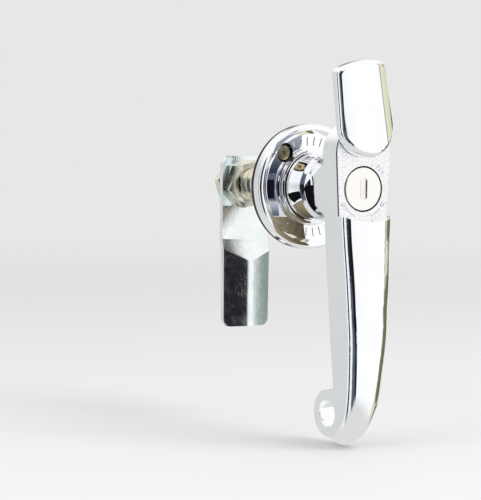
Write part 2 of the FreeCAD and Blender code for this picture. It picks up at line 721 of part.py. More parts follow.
def soft_edges(body):
    """Bevel the flat face, and round the back of the head and the step above the grip."""
    step_low = PIVOT_Z - STEP_R
    face = [edge for edge, box in level_edges(body, FACE_Y)
            if box.ZMin > step_low and edge.Length > FACE_EDGE_L]
    body = body.makeChamfer(HEAD_BEVEL, face)
    back = [edge for edge, box in level_edges(body, REAR_Y) if box.ZMax > HUB_FLARE_R - NEAR]
    step = [edge for edge in body.Edges if abs(edge.BoundBox.ZMin - step_low) < NEAR
            and edge.BoundBox.YMax < FACE_Y - HEAD_BEVEL and edge.BoundBox.XLength > HEAD_R]
    return body.makeFillet(HEAD_EDGE_R, back + step)


def handle_body():
    eye, eye_hole = padlock_eye()
    body = grip().fuse([head(), hub(), eye]).removeSplitter()
    body = soft_edges(body)
    body = body.cut(grip_channel())
    body = body.cut(eye_hole)
    for cut in hub_cuts():
        body = body.cut(cut)
    return body.fuse(dial_marks())


def lock_sleeve():
    sleeve = tube(SLEEVE_R, PLUG_R + RUN_CLEAR, SLEEVE_FRONT, SLEEVE_REAR)
    floor = PLUG_STEP + RUN_CLEAR
    sleeve = sleeve.cut(rod(PLUG_HEAD_R + RUN_CLEAR, SLEEVE_FRONT - 1, floor))
    slot_half = WAFER_W / 2 + SLIP_CLEAR
    slot_reach = PLUG_R + WAFER_SLOT_DEPTH
    sleeve = sleeve.cut(block(-slot_half, slot_half, floor + 1.0, SLEEVE_REAR + 1,
                              -slot_reach, slot_reach))
    bevel = turned([
        (SLEEVE_R - 0.5, SLEEVE_FRONT),
        (SLEEVE_R + 1, SLEEVE_FRONT - 1.5),
        (SLEEVE_R + 1, SLEEVE_FRONT + 0.5),
        (SLEEVE_R, SLEEVE_FRONT + 0.5),
    ])
    return sleeve.cut(bevel).cut(sleeve_pin_rod(SLEEVE_PIN_R + PRESS_CLEAR, -20.0, 0.05))


def sleeve_pin():
    return sleeve_pin_rod(SLEEVE_PIN_R, CHANNEL_TOP_Z + 0.4, 0.0)


def rounded_slot(width, height, y0, y1):
    """Upright slot at the place of the keyway, with half-round ends."""
    half = width / 2
    straight = height / 2 - half
    slot = block(KEYWAY_X - half, KEYWAY_X + half, y0, y1, -straight, straight)
    ends = [rod(half, y0, y1, KEYWAY_X, z) for z in (-straight, straight)]
    return slot.fuse(ends)


def shutter_plate(room):
    """The shutter's outline, larger all round by a given room."""
    half_w = KEYWAY_W / 2 + SHUTTER_LAP + room
    half_h = KEYWAY_H / 2 + SHUTTER_LAP + room
    return block(KEYWAY_X - half_w, KEYWAY_X + half_w, SHUTTER_Y - room,
                 SHUTTER_Y + SHUTTER_T + room, -half_h, half_h)


def wafer_places():
    return [PLUG_FRONT + WAFER_FIRST + WAFER_PITCH * n for n in range(WAFER_COUNT)]


def lock_plug():
    bend = PLUG_EDGE_R * (1 - math.sin(math.radians(45)))
    plug = turned([
        (0, PLUG_FRONT),
        (PLUG_HEAD_R - PLUG_EDGE_R, PLUG_FRONT),
        (PLUG_HEAD_R - bend, PLUG_FRONT + bend, PLUG_HEAD_R, PLUG_FRONT + PLUG_EDGE_R),
        (PLUG_HEAD_R, PLUG_STEP),
        (PLUG_R, PLUG_STEP),
        (PLUG_R, CLIP_Y - RUN_CLEAR),
        (PLUG_R - CLIP_GROOVE_DEPTH, CLIP_Y - RUN_CLEAR),
        (PLUG_R - CLIP_GROOVE_DEPTH, CLIP_Y + CLIP_T + RUN_CLEAR),
        (PLUG_R, CLIP_Y + CLIP_T + RUN_CLEAR),
        (PLUG_R, PLUG_REAR),
        (0, PLUG_REAR),
    ])
    half = TANG_SIDE / 2
    tang = block(-half, half, PLUG_REAR - 0.5, PLUG_REAR + TANG_LENGTH, -half, half)
    rim = rounded_slot(KEYWAY_W + 2 * KEYWAY_RIM_W, KEYWAY_H + 2 * KEYWAY_RIM_W,
                       PLUG_FRONT - KEYWAY_RIM_H, PLUG_FRONT + PAST)
    plug = plug.fuse([tang, rim])
    plug = plug.cut(rounded_slot(KEYWAY_W, KEYWAY_H, PLUG_FRONT - PAST, PLUG_FRONT + KEYWAY_DEPTH))
    plug = plug.cut(shutter_plate(RUN_CLEAR))
    room = WAFER_T / 2 + WAFER_PLAY
    half_w = WAFER_W / 2 + WAFER_PLAY
    spring_half = SPRING_COIL_R + SPRING_WIRE_R + WAFER_PLAY
    ear_reach = half_w + WAFER_EAR_W + WAFER_PLAY
    spring_low = WAFER_EAR_Z - SPRING_LENGTH
    for y in wafer_places():
        slot = block(-half_w, half_w, y - room, y + room, -PLUG_R - 1, PLUG_R + 1)
        pocket = block(half_w - 0.1, ear_reach, y - spring_half, y + spring_half,
                       spring_low, PLUG_R + 1)
        plug = plug.cut(slot).cut(pocket)
    return plug


def keyway_shutter():
    """Thin plate that closes the keyway behind the front of the plug."""
    return shutter_plate(0.0)


def plug_wafer(y):
    half_w = WAFER_W / 2
    half_h = WAFER_H / 2
    half_t = WAFER_T / 2
    plate = block(-half_w, half_w, y - half_t, y + half_t, -half_h, half_h)
    corners = [edge for edge in plate.Edges if edge.BoundBox.YLength > half_t]
    plate = plate.makeFillet(1.0, corners)
    ear = block(half_w - 0.5, half_w + WAFER_EAR_W, y - half_t, y + half_t,
                WAFER_EAR_Z, WAFER_EAR_Z + WAFER_EAR_H)
    window = block(KEYWAY_X - WAFER_WINDOW_W / 2, KEYWAY_X + WAFER_WINDOW_W / 2, y - 1, y + 1,
                   -WAFER_WINDOW_H / 2, WAFER_WINDOW_H / 2)
    return plate.fuse(ear).cut(window)


def plug_wafers():
    return Part.Compound([plug_wafer(y) for y in wafer_places()])


def wafer_spring(y):
    """Coil spring under the ear of one wafer."""
    length = SPRING_LENGTH - 2 * SPRING_WIRE_R
    helix = Part.makeHelix(length / SPRING_TURNS, length, SPRING_COIL_R)
    start = Vector(SPRING_COIL_R, 0, 0)
    ring = Part.makeCircle(SPRING_WIRE_R, start, Vector(0, 1, 0))
    spring = Part.Wire(helix.Edges).makePipeShell([Part.Wire([ring])], True, True)
    x = WAFER_W / 2 + WAFER_PLAY + WAFER_EAR_W / 2
    spring.translate(Vector(x, y, WAFER_EAR_Z - SPRING_LENGTH + SPRING_WIRE_R))
    return spring


def wafer_springs():
    return Part.Compound([wafer_spring(y) for y in wafer_places()])


def open_ring(inner, outer, y0, thickness, gap_deg, gap_middle):
    ring = tube(outer, inner, y0, y0 + thickness)
    return ring.cut(sector(outer + 1, inner - 1, y0 - 1, y0 + thickness + 1,
                           gap_middle, gap_deg))


def plug_retaining_clip():
    inner = PLUG_R - CLIP_GROOVE_DEPTH + PRESS_CLEAR
    return open_ring(inner, PLUG_R + CLIP_RIM, CLIP_Y, CLIP_T, CLIP_GAP_DEG, 90.0)


def plug_driver():
    disc_y = PLUG_REAR + RUN_CLEAR
    disc_end = disc_y + DRIVER_DISC_T
    crank_y = CRANK_REAR - CRANK_T
    half = TANG_SIDE / 2 + PRESS_CLEAR
    pin_at = polar(CRANK_THROW, CRANK_START_DEG)
    driver = rod(DRIVER_DISC_R, disc_y, disc_end).fuse([
        rod(DRIVER_STEM_R, disc_end - 0.5, crank_y + 0.5),
        rod(CRANK_R, crank_y, CRANK_REAR),
        rod(CRANK_PIN_R, CRANK_REAR - 0.5, BOLT_FAR - SLIP_CLEAR, pin_at.x, pin_at.z),
    ])
    return driver.cut(block(-half, half, disc_y - 1, PLUG_REAR + TANG_LENGTH + RUN_CLEAR,
                            -half, half))


def locking_bolt():
    half = BOLT_BODY_W / 2
    tongue = BOLT_TONGUE_W / 2
    pin_at = polar(CRANK_THROW, CRANK_START_DEG)
    body = block(-half, half, BOLT_NEAR, BOLT_FAR, BOLT_TONGUE_Z, BOLT_TOP)
    body = body.fuse(block(-tongue, tongue, BOLT_NEAR, BOLT_FAR, -NECK_R, BOLT_TONGUE_Z + 1))
    body = body.common(rod(NECK_R - BOLT_SINK, BOLT_NEAR, BOLT_FAR))
    slot = block(pin_at.x - CRANK_PIN_R - BOLT_PLAY, CRANK_THROW + CRANK_PIN_R + BOLT_PLAY,
                 BOLT_NEAR - 1, BOLT_FAR + 1,
                 pin_at.z - CRANK_PIN_R - BOLT_PLAY, pin_at.z + CRANK_PIN_R + BOLT_PLAY)
    return body.cut(slot)


def stop_pin():
    return radial_rod(STOP_PIN_R, SPINDLE_SHANK_R + 1.1, STOP_PIN_REACH,
                      STOP_PIN_Y, STOP_PIN_ANGLE)


def thrust_washer():
    return tube(THRUST_R, NECK_R + 0.1, THRUST_Y, THRUST_Y + THRUST_T)


def disc_spring():
    inner = NECK_R + 0.1
    rise = DISC_SPRING_H - DISC_SPRING_T
    return turned([
        (DISC_SPRING_R, SPRING_Y),
        (DISC_SPRING_R, SPRING_Y + DISC_SPRING_T),
        (inner, SPRING_Y + DISC_SPRING_T + rise),
        (inner, SPRING_Y + rise),
    ])


def neck_circlip():
    inner = NECK_R - CIRCLIP_DEPTH + PRESS_CLEAR
    outer = NECK_R + CIRCLIP_RIM
    ring = open_ring(inner, outer, CIRCLIP_Y, CIRCLIP_T, CIRCLIP_GAP_DEG, -90.0)
    lug_at = NECK_R + CIRCLIP_EYE_R + 1.1
    for side in (-1, 1):
        place = polar(lug_at, -90.0 + side * (CIRCLIP_GAP_DEG / 2 + 7.0))
        lug = rod(CIRCLIP_EYE_R + 1.0, CIRCLIP_Y, CIRCLIP_Y + CIRCLIP_T, place.x, place.z)
        hole = rod(CIRCLIP_EYE_R, CIRCLIP_Y - 1, CIRCLIP_Y + CIRCLIP_T + 1, place.x, place.z)
        ring = ring.fuse(lug).cut(hole)
    return ring


def spindle_cross_pin():
    return cross_pin_rod(CROSS_PIN_R, NECK_R - 0.4)


def thread_groove(length):
    """Helical groove of a trapezoidal thread, from the origin up along Z."""
    helix = Part.makeHelix(THREAD_PITCH, length, SPINDLE_R)
    root = SPINDLE_R - THREAD_DEPTH
    outside = SPINDLE_R + 0.2
    mouth = THREAD_PITCH - THREAD_CREST
    slope = (mouth - THREAD_ROOT) / 2 / THREAD_DEPTH
    wide = mouth / 2 + slope * 0.2
    narrow = THREAD_ROOT / 2
    profile = wire_of([
        (outside, 0, -wide),
        (outside, 0, wide),
        (root, 0, narrow),
        (root, 0, -narrow),
    ])
    return Part.Wire(helix.Edges).makePipeShell([profile], True, True)


def threaded_bar():
    """Threaded part of the spindle, made upright and then laid along Y."""
    length = SPINDLE_END - NECK_END
    room = length - THREAD_RUN_OUT - THREAD_PITCH / 2 - THREAD_POINT
    turns = math.floor(room / THREAD_PITCH)
    bar = Part.makeCylinder(SPINDLE_R, length)
    groove = thread_groove(turns * THREAD_PITCH)
    groove.translate(Vector(0, 0, THREAD_RUN_OUT))
    bar = bar.cut(groove)
    bar.rotate(Vector(0, 0, 0), Vector(1, 0, 0), -90)
    bar.translate(Vector(0, NECK_END, 0))
    return bar


def spindle():
    shank = turned([
        (0, SPINDLE_SHANK_START),
        (SPINDLE_SHANK_R - BREAK_EDGE, SPINDLE_SHANK_START),
        (SPINDLE_SHANK_R, SPINDLE_SHANK_START + BREAK_EDGE),
        (SPINDLE_SHANK_R, NECK_END + 1),
        (0, NECK_END + 1),
    ])
    point = turned([
        (SPINDLE_R - THREAD_POINT, SPINDLE_END),
        (SPINDLE_R + 1, SPINDLE_END - THREAD_POINT - 1),
        (SPINDLE_R + 1, SPINDLE_END + 1),
        (SPINDLE_R - THREAD_POINT, SPINDLE_END + 1),
    ])
    bar = threaded_bar().cut(point).fuse(shank)
    half = FLAT_ACROSS / 2
    for x0 in (half, -SPINDLE_R - 1):
        bar = bar.cut(block(x0, x0 + SPINDLE_R + 1 - half, FLAT_START, SPINDLE_END + 1,
                            -SPINDLE_R - 1, SPINDLE_R + 1))
    return bar.cut(cross_pin_rod(CROSS_PIN_R + PRESS_CLEAR, NECK_R))


def hex_nut(y0, turn):
    """Six-sided nut with both faces chamfered; a corner points to turn."""
    corner_r = NUT_AF / 2 / math.cos(math.radians(30))
    corners = [polar(corner_r, turn + 60 * n, y0) for n in range(6)]
    wire = Part.makePolygon(corners + [corners[0]])
    nut = Part.Face(wire).extrude(Vector(0, NUT_T, 0))
    drop = (corner_r - NUT_AF / 2 + 0.3) * math.tan(math.radians(NUT_CHAMFER_DEG))
    round_off = turned([
        (0, y0),
        (NUT_AF / 2 - 0.3, y0),
        (corner_r, y0 + drop),
        (corner_r, y0 + NUT_T - drop),
        (NUT_AF / 2 - 0.3, y0 + NUT_T),
        (0, y0 + NUT_T),
    ])
    return nut.common(round_off).cut(rod(SPINDLE_R + RUN_CLEAR, y0 - 1, y0 + NUT_T + 1))


def front_nut():
    return hex_nut(FRONT_NUT_Y, FRONT_NUT_TURN)


def rear_nut():
    return hex_nut(REAR_NUT_Y, REAR_NUT_TURN)


def cam_side():
    """Everything behind the flat part and the bend of the cam plate, from the side."""
    drop = FAR * CAM_JOG_DEPTH / CAM_JOG_LENGTH
    profile = Part.Face(wire_of([
        (-FAR, CAM_FRONT, CAM_TOP_Z + FAR),
        (-FAR, CAM_FRONT, CAM_JOG_Z),
        (-FAR, CAM_FRONT - drop, CAM_JOG_Z - FAR),
        (-FAR, CAM_FRONT + FAR, CAM_JOG_Z - FAR),
        (-FAR, CAM_FRONT + FAR, CAM_TOP_Z + FAR),
    ]))
    return profile.extrude(Vector(2 * FAR, 0, 0))


def cam_roof():
    """Everything behind the ridge of the cam plate and its two slopes."""
    crest_y = CAM_FRONT - CAM_JOG_DEPTH
    low_y = crest_y + FAR * CAM_RIDGE_SLOPE
    low_z = CAM_JOG_Z - FAR
    profile = Part.Face(wire_of([
        (CAM_RIDGE_X, crest_y, low_z),
        (CAM_RIDGE_X + FAR, low_y, low_z),
        (CAM_RIDGE_X + FAR, CAM_FRONT + FAR, low_z),
        (CAM_RIDGE_X - FAR, CAM_FRONT + FAR, low_z),
        (CAM_RIDGE_X - FAR, low_y, low_z),
    ]))
    roof = profile.extrude(Vector(0, 0, 2 * FAR))
    ridge = [edge for edge in roof.Edges if edge.BoundBox.YMax < crest_y + 0.01
             and edge.BoundBox.ZLength > FAR]
    return roof.makeFillet(CAM_RIDGE_R, ridge)


def cam_form():
    """Everything behind the front of the cam plate, with its folds rounded."""
    form = cam_side().common(cam_roof())
    half = CAM_W / 2 + PAST
    form = form.common(block(-half, half, 0, CAM_FRONT + FAR / 2, CAM_BOTTOM_Z - PAST,
                             CAM_TOP_Z + PAST))
    folds = [edge for edge in form.Edges
             if edge.BoundBox.YMin > CAM_FRONT - CAM_JOG_DEPTH - PAST
             and edge.BoundBox.YMax < CAM_FRONT + 0.01
             and edge.BoundBox.XLength > 1 and edge.BoundBox.ZMin > CAM_BOTTOM_Z
             and edge.BoundBox.ZMax < 0]
    return form.makeFillet(CAM_FOLD_R, folds)


def cam_plate():
    """Plate on the spindle: a flat top, then a step and a ridge down its middle."""
    top = CAM_W / 2
    low = top - CAM_TAPER * (CAM_TOP_Z - CAM_BOTTOM_Z)
    front_y = CAM_FRONT - CAM_JOG_DEPTH - PAST
    depth = CAM_REAR + PAST - front_y
    outline = Part.Face(wire_of([
        (-top, front_y, CAM_TOP_Z),
        (top, front_y, CAM_TOP_Z),
        (low, front_y, CAM_BOTTOM_Z),
        (-low, front_y, CAM_BOTTOM_Z),
    ])).extrude(Vector(0, depth, 0))
    upright = [edge for edge in outline.Edges if edge.BoundBox.YLength > PAST]
    high = [edge for edge in upright if edge.BoundBox.ZMin > 0]
    outline = outline.makeFillet(CAM_TOP_CORNER_R, high)
    upright = [edge for edge in outline.Edges if edge.BoundBox.YLength > PAST]
    lower = [edge for edge in upright if edge.BoundBox.ZMax < CAM_BOTTOM_Z + 0.5]
    outline = outline.makeFillet(CAM_BOTTOM_CORNER_R, lower)
    half = FLAT_ACROSS / 2 + RUN_CLEAR
    hole = rod(SPINDLE_R + RUN_CLEAR, CAM_FRONT - PAST, CAM_REAR + PAST)
    hole = hole.common(block(-half, half, CAM_FRONT - PAST, CAM_REAR + PAST, -FAR, FAR))
    form = cam_form()
    behind = form.copy()
    behind.translate(Vector(0, CAM_T, 0))
    return form.cut(behind).common(outline).cut(hole)


def cam_lock_washer():
    inner = SPINDLE_R + 0.1
    ring = tube(inner + LOCK_WASHER_W, inner, CAM_REAR, REAR_NUT_Y)
    cut = block(-0.4, 0.4, CAM_REAR - 3, REAR_NUT_Y + 3, inner - 1, inner + LOCK_WASHER_W + 1)
    middle = Vector(0, (CAM_REAR + REAR_NUT_Y) / 2, 0)
    cut.rotate(middle, Vector(0, 0, 1), LOCK_WASHER_CUT_DEG)
    return ring.cut(turn_about(cut, LOCK_WASHER_TURN))


def cap_blank(inset):
    """The cap hanging over the lock, as a solid without its hollow."""
    radius = CAP_R - inset
    reach = CAP_REACH - inset
    centre_z = PIVOT_Z - CAP_OFFSET
    y0 = CAP_REAR + (PAST if inset else 0.0)
    y1 = -FAR
    far = radius - CAP_TAPER * (reach - CAP_OFFSET)
    side_z = PIVOT_Z - math.sqrt(reach ** 2 - far ** 2)
    edges = [
        Part.Arc(Vector(radius, y0, centre_z), Vector(0, y0, centre_z + radius),
                 Vector(-radius, y0, centre_z)).toShape(),
        Part.makeLine(Vector(-radius, y0, centre_z), Vector(-far, y0, side_z)),
        Part.Arc(Vector(-far, y0, side_z), Vector(0, y0, PIVOT_Z - reach),
                 Vector(far, y0, side_z)).toShape(),
        Part.makeLine(Vector(far, y0, side_z), Vector(radius, y0, centre_z)),
    ]
    prism = Part.Face(Part.Wire(edges)).extrude(Vector(0, y1 - y0, 0))
    corners = [edge for edge in prism.Edges
               if edge.BoundBox.YLength > 1 and edge.BoundBox.ZMax < side_z + 0.5]
    prism = prism.makeFillet(CAP_CORNER_R - inset / 2, corners)
    arch_r = (CAP_R ** 2 + CAP_ARCH ** 2) / (2 * CAP_ARCH)
    arch = Part.makeCylinder(arch_r - inset, 2 * FAR, Vector(0, CAP_TOP + arch_r, -FAR),
                             Vector(0, 0, 1))
    return prism.common(arch)


def dust_cap():
    blank = cap_blank(0.0)
    rim = [edge for edge in blank.Edges
           if edge.BoundBox.YMax < CAP_REAR - 1 and edge.Length > 1
           and edge.BoundBox.YLength < CAP_ARCH + 1]
    blank = blank.makeFillet(CAP_EDGE_R, rim)
    hollow = cap_blank(CAP_WALL)
    boss = rod(CAP_BOSS_R, CAP_TOP + CAP_WALL, CAP_REAR, 0, PIVOT_Z)
    bore = rod(PIN_R + PRESS_CLEAR, CAP_REAR - PIN_GRIP - PRESS_CLEAR, CAP_REAR + 1, 0, PIVOT_Z)
    cap = blank.cut(hollow).fuse(boss).cut(bore)
    return turn_about(cap, CAP_OPEN_DEG, 0, PIVOT_Z)


def cap_pivot_pin():
    head_end = REAR_Y - RUN_CLEAR
    shank = rod(PIN_R, CAP_REAR - PIN_GRIP, head_end, 0, PIVOT_Z)
    return shank.fuse(rod(PIN_HEAD_R, head_end - PIN_HEAD_T, head_end, 0, PIVOT_Z))


def cap_spring_washer():
    y0 = PIN_SEAT_Y + RUN_CLEAR
    inner = PIN_R + 0.1
    outer = SPRING_WASHER_R
    thin = SPRING_WASHER_T * 0.6
    ring = turned([
        (inner, y0),
        (inner, y0 + thin),
        (outer, y0 + SPRING_WASHER_T),
        (outer, y0 + SPRING_WASHER_T - thin),
    ])
    ring.translate(Vector(0, 0, PIVOT_Z))
    return ring


NODES = (
    rosette,
    door_gasket,
    rosette_screws,
    hub_bush,
    handle_body,
    lock_sleeve,
    sleeve_pin,
    lock_plug,
    keyway_shutter,
    plug_wafers,
    wafer_springs,
    plug_retaining_clip,
    plug_driver,
    locking_bolt,
    stop_pin,
    thrust_washer,
    disc_spring,
    neck_circlip,
    spindle,
    spindle_cross_pin,
    front_nut,
    cam_plate,
    cam_lock_washer,
    rear_nut,
    dust_cap,
    cap_pivot_pin,
    cap_spring_washer,
)


def main():
    os.makedirs("parts", exist_ok=True)
    for make in NODES:
        shape = make()
        shape.exportStep("parts/" + make.__name__ + ".step")
        print(make.__name__, "solids", len(shape.Solids), "valid", shape.isValid(),
              "volume", round(shape.Volume, 1))


if __name__ == "__main__":
    main()
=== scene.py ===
# %% [markdown]
# # Cabinet handle lock
#
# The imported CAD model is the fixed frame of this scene: every turned, cast and pressed piece is already in
# its place and has its exact shape. Blender adds what a drawing leaves out: the studio, the camera, the
# finish of each metal, and the small pieces whose charm is in their soft edges.

# %% Load the model
import json
import math

import bpy
from mathutils import Matrix, Vector


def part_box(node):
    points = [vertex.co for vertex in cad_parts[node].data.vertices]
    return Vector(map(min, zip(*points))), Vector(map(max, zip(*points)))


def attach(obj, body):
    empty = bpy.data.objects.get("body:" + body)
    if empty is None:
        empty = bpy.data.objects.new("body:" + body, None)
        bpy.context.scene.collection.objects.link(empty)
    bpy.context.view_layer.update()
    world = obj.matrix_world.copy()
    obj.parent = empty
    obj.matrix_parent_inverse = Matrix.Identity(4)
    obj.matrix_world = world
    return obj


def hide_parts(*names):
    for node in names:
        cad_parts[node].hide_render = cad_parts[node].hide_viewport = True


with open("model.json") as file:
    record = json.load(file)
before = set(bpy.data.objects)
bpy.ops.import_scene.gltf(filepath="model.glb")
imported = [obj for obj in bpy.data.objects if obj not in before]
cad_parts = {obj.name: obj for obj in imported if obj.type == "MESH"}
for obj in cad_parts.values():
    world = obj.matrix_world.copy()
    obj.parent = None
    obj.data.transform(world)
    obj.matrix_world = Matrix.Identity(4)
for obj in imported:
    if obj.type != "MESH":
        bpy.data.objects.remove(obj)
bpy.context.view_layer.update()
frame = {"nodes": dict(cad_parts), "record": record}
nodes = frame["nodes"]
MM = 0.001
print("pieces of the model:", len(nodes))

# %% [markdown]
# ## The camera
#
# The picture was taken from the left of the handle, a little above the middle, with a long lens. A camera
# is set by its place and two directions. The third follows from them, so the picture can't be skewed.

# %% Camera
SENSOR = 36.0
FOCAL_PX = 1601.175          # focal length measured in pixels of the picture
LONG_SIDE_PX = 500
CAMERA_AT = (-363.909, -563.212, 14.085)
CAMERA_RIGHT = (0.8609514, -0.5085561, 0.0115479)
CAMERA_UP = (0.0211808, 0.0585209, 0.9980615)

camera_data = bpy.data.cameras.new("camera")
camera_data.sensor_width = SENSOR
camera_data.lens = FOCAL_PX / LONG_SIDE_PX * SENSOR
camera_data.clip_start = 0.05
camera_data.clip_end = 60.0
camera = bpy.data.objects.new("camera", camera_data)
bpy.context.scene.collection.objects.link(camera)
right = Vector(CAMERA_RIGHT).normalized()
back = right.cross(Vector(CAMERA_UP)).normalized()
up = back.cross(right)
turn = Matrix((right, up, back)).transposed().to_4x4()
camera.matrix_world = Matrix.Translation(Vector(CAMERA_AT) * MM) @ turn
bpy.context.scene.camera = camera
print("focal length", round(camera_data.lens, 1), "mm")

# %% [markdown]
# ## Helpers for nodes
#
# A material is a small graph. One helper places a node, one starts a node group with named sockets. A
# group is built once and then placed in several materials, each time with other values.


# %% Node helpers
def put(tree, kind, x, y, **settings):
    """Add one node at a place in the graph."""
    node = tree.nodes.new(kind)
    node.location = (x, y)
    for name, value in settings.items():
        setattr(node, name, value)
    return node


def start_group(name, inputs, outputs):
    """A node group with its sockets: (label, kind, value) in, (label, kind) out."""
    group = bpy.data.node_groups.new(name, "ShaderNodeTree")
    for label, kind, value in inputs:
        socket = group.interface.new_socket(name=label, in_out="INPUT", socket_type=kind)
        socket.default_value = value
    for label, kind in outputs:
        group.interface.new_socket(name=label, in_out="OUTPUT", socket_type=kind)
    enter = put(group, "NodeGroupInput", -900, 0)
    leave = put(group, "NodeGroupOutput", 600, 0)
    return group, enter, leave


FLOAT = "NodeSocketFloat"
COLOUR = "NodeSocketColor"

# %% [markdown]
# ## The studio
#
# Polished chrome has no look of its own: it shows the room. So the room is made first. Rays that light the
# object find an even pale room. Rays that leave a mirror find softboxes and dark gaps between them, laid
# out by compass direction on one colour ramp, with a white ceiling over all. The floor is pale and matt.

# %% Tones of the room
# Compass direction in degrees from the front, positive to the right, with the tone there
ROOM = (
    (-180, (0.80, 0.81, 0.82)),
    (-151, (0.64, 0.66, 0.65)),
    (-141, (0.70, 0.71, 0.71)),
    (-132, (0.95, 0.95, 0.96)),
    (-124, (0.90, 0.92, 0.95)),
    (-120, (0.03, 0.035, 0.08)),
    (-104, (0.02, 0.025, 0.06)),
    (-99, (1.00, 1.00, 1.00)),
    (-76, (0.90, 0.91, 0.94)),
    (-70, (0.30, 0.31, 0.36)),
    (-65, (0.014, 0.015, 0.035)),
    (-40, (0.012, 0.011, 0.014)),
    (-20, (0.010, 0.010, 0.012)),
    (-17, (0.96, 0.97, 1.00)),
    (10, (1.03, 1.03, 1.03)),
    (66, (1.02, 1.02, 1.02)),
    (68, (0.10, 0.10, 0.10)),
    (70, (0.80, 0.78, 0.60)),
    (85, (0.72, 0.70, 0.52)),
    (88, (0.05, 0.05, 0.05)),
    (94, (0.08, 0.08, 0.07)),
    (98, (0.80, 0.80, 0.76)),
    (140, (0.95, 0.95, 0.95)),
    (156, (0.05, 0.05, 0.06)),
    (168, (0.75, 0.76, 0.77)),
)
# Round gaps between the softboxes: direction, degrees to the full tone, degrees to the edge, tone
GAPS = (
    ((0.957, -0.203, -0.208), 10.0, 12.5, (0.17, 0.165, 0.10)),
    ((-0.742, -0.540, 0.367), 13.0, 20.0, (0.10, 0.12, 0.17)),
    ((-0.742, -0.540, -0.367), 13.0, 20.0, (0.10, 0.12, 0.16)),
)
print("tones round the room:", len(ROOM))

# %% Room by compass direction
world = bpy.data.worlds.new("studio_room")
bpy.context.scene.world = world
world.use_nodes = True
room = world.node_tree
background = room.nodes["Background"]
direction = put(room, "ShaderNodeTexCoord", -1500, 0)
parts = put(room, "ShaderNodeSeparateXYZ", -1300, 0)
room.links.new(direction.outputs["Generated"], parts.inputs[0])
forward = put(room, "ShaderNodeMath", -1100, -150, operation="MULTIPLY")
forward.inputs[1].default_value = -1.0
room.links.new(parts.outputs["Y"], forward.inputs[0])
compass = put(room, "ShaderNodeMath", -900, 0, operation="ARCTAN2")
room.links.new(parts.outputs["X"], compass.inputs[0])
room.links.new(forward.outputs[0], compass.inputs[1])
share = put(room, "ShaderNodeMapRange", -700, 0)
share.inputs["From Min"].default_value = -math.pi
share.inputs["From Max"].default_value = math.pi
room.links.new(compass.outputs[0], share.inputs["Value"])
ramp = put(room, "ShaderNodeValToRGB", -500, 0)
stops = ramp.color_ramp.elements
while len(stops) > 1:
    stops.remove(stops[0])
stops[0].position = 0.0
stops[0].color = (*ROOM[0][1], 1)
for degrees, colour in ROOM[1:]:
    stop = stops.new((degrees + 180) / 360)
    stop.color = (*colour, 1)
room.links.new(share.outputs[0], ramp.inputs["Fac"])
print("directions on the ramp:", len(stops))

# %% White ceiling and pale ground of the room
CEILING_RISE = (0.30, 0.55)          # upward share of a direction, from no ceiling to all white
GROUND_FALL = (-0.40, -0.62)         # the same downwards
GROUND_TONE = (0.72, 0.73, 0.73)
ceiling = put(room, "ShaderNodeMapRange", -500, -300, interpolation_type="SMOOTHSTEP")
ceiling.inputs["From Min"].default_value = CEILING_RISE[0]
ceiling.inputs["From Max"].default_value = CEILING_RISE[1]
room.links.new(parts.outputs["Z"], ceiling.inputs["Value"])
with_ceiling = put(room, "ShaderNodeMix", -200, 0, data_type="RGBA")
with_ceiling.inputs[7].default_value = (1, 1, 1, 1)
room.links.new(ceiling.outputs[0], with_ceiling.inputs[0])
ground = put(room, "ShaderNodeMapRange", -500, -550, interpolation_type="SMOOTHSTEP")
ground.inputs["From Min"].default_value = GROUND_FALL[0]
ground.inputs["From Max"].default_value = GROUND_FALL[1]
room.links.new(parts.outputs["Z"], ground.inputs["Value"])
with_ground = put(room, "ShaderNodeMix", -350, 100, data_type="RGBA")
with_ground.inputs[7].default_value = (*GROUND_TONE, 1)
room.links.new(ground.outputs[0], with_ground.inputs[0])
room.links.new(ramp.outputs["Color"], with_ground.inputs[6])
room.links.new(with_ground.outputs[2], with_ceiling.inputs[6])
mirrored = with_ceiling.outputs[2]
for number, (towards, full, edge, tone) in enumerate(GAPS):
    down = -500 - 150 * number
    gap = put(room, "ShaderNodeVectorMath", -1100, down, operation="DOT_PRODUCT")
    gap.inputs[1].default_value = Vector(towards).normalized()
    room.links.new(direction.outputs["Generated"], gap.inputs[0])
    gap_share = put(room, "ShaderNodeMapRange", -900, down, interpolation_type="SMOOTHSTEP")
    gap_share.inputs["From Min"].default_value = math.cos(math.radians(edge))
    gap_share.inputs["From Max"].default_value = math.cos(math.radians(full))
    room.links.new(gap.outputs["Value"], gap_share.inputs["Value"])
    with_gap = put(room, "ShaderNodeMix", -100, down, data_type="RGBA")
    with_gap.inputs[7].default_value = (*tone, 1)
    room.links.new(gap_share.outputs[0], with_gap.inputs[0])
    room.links.new(mirrored, with_gap.inputs[6])
    mirrored = with_gap.outputs[2]
print("gaps between the softboxes:", len(GAPS))

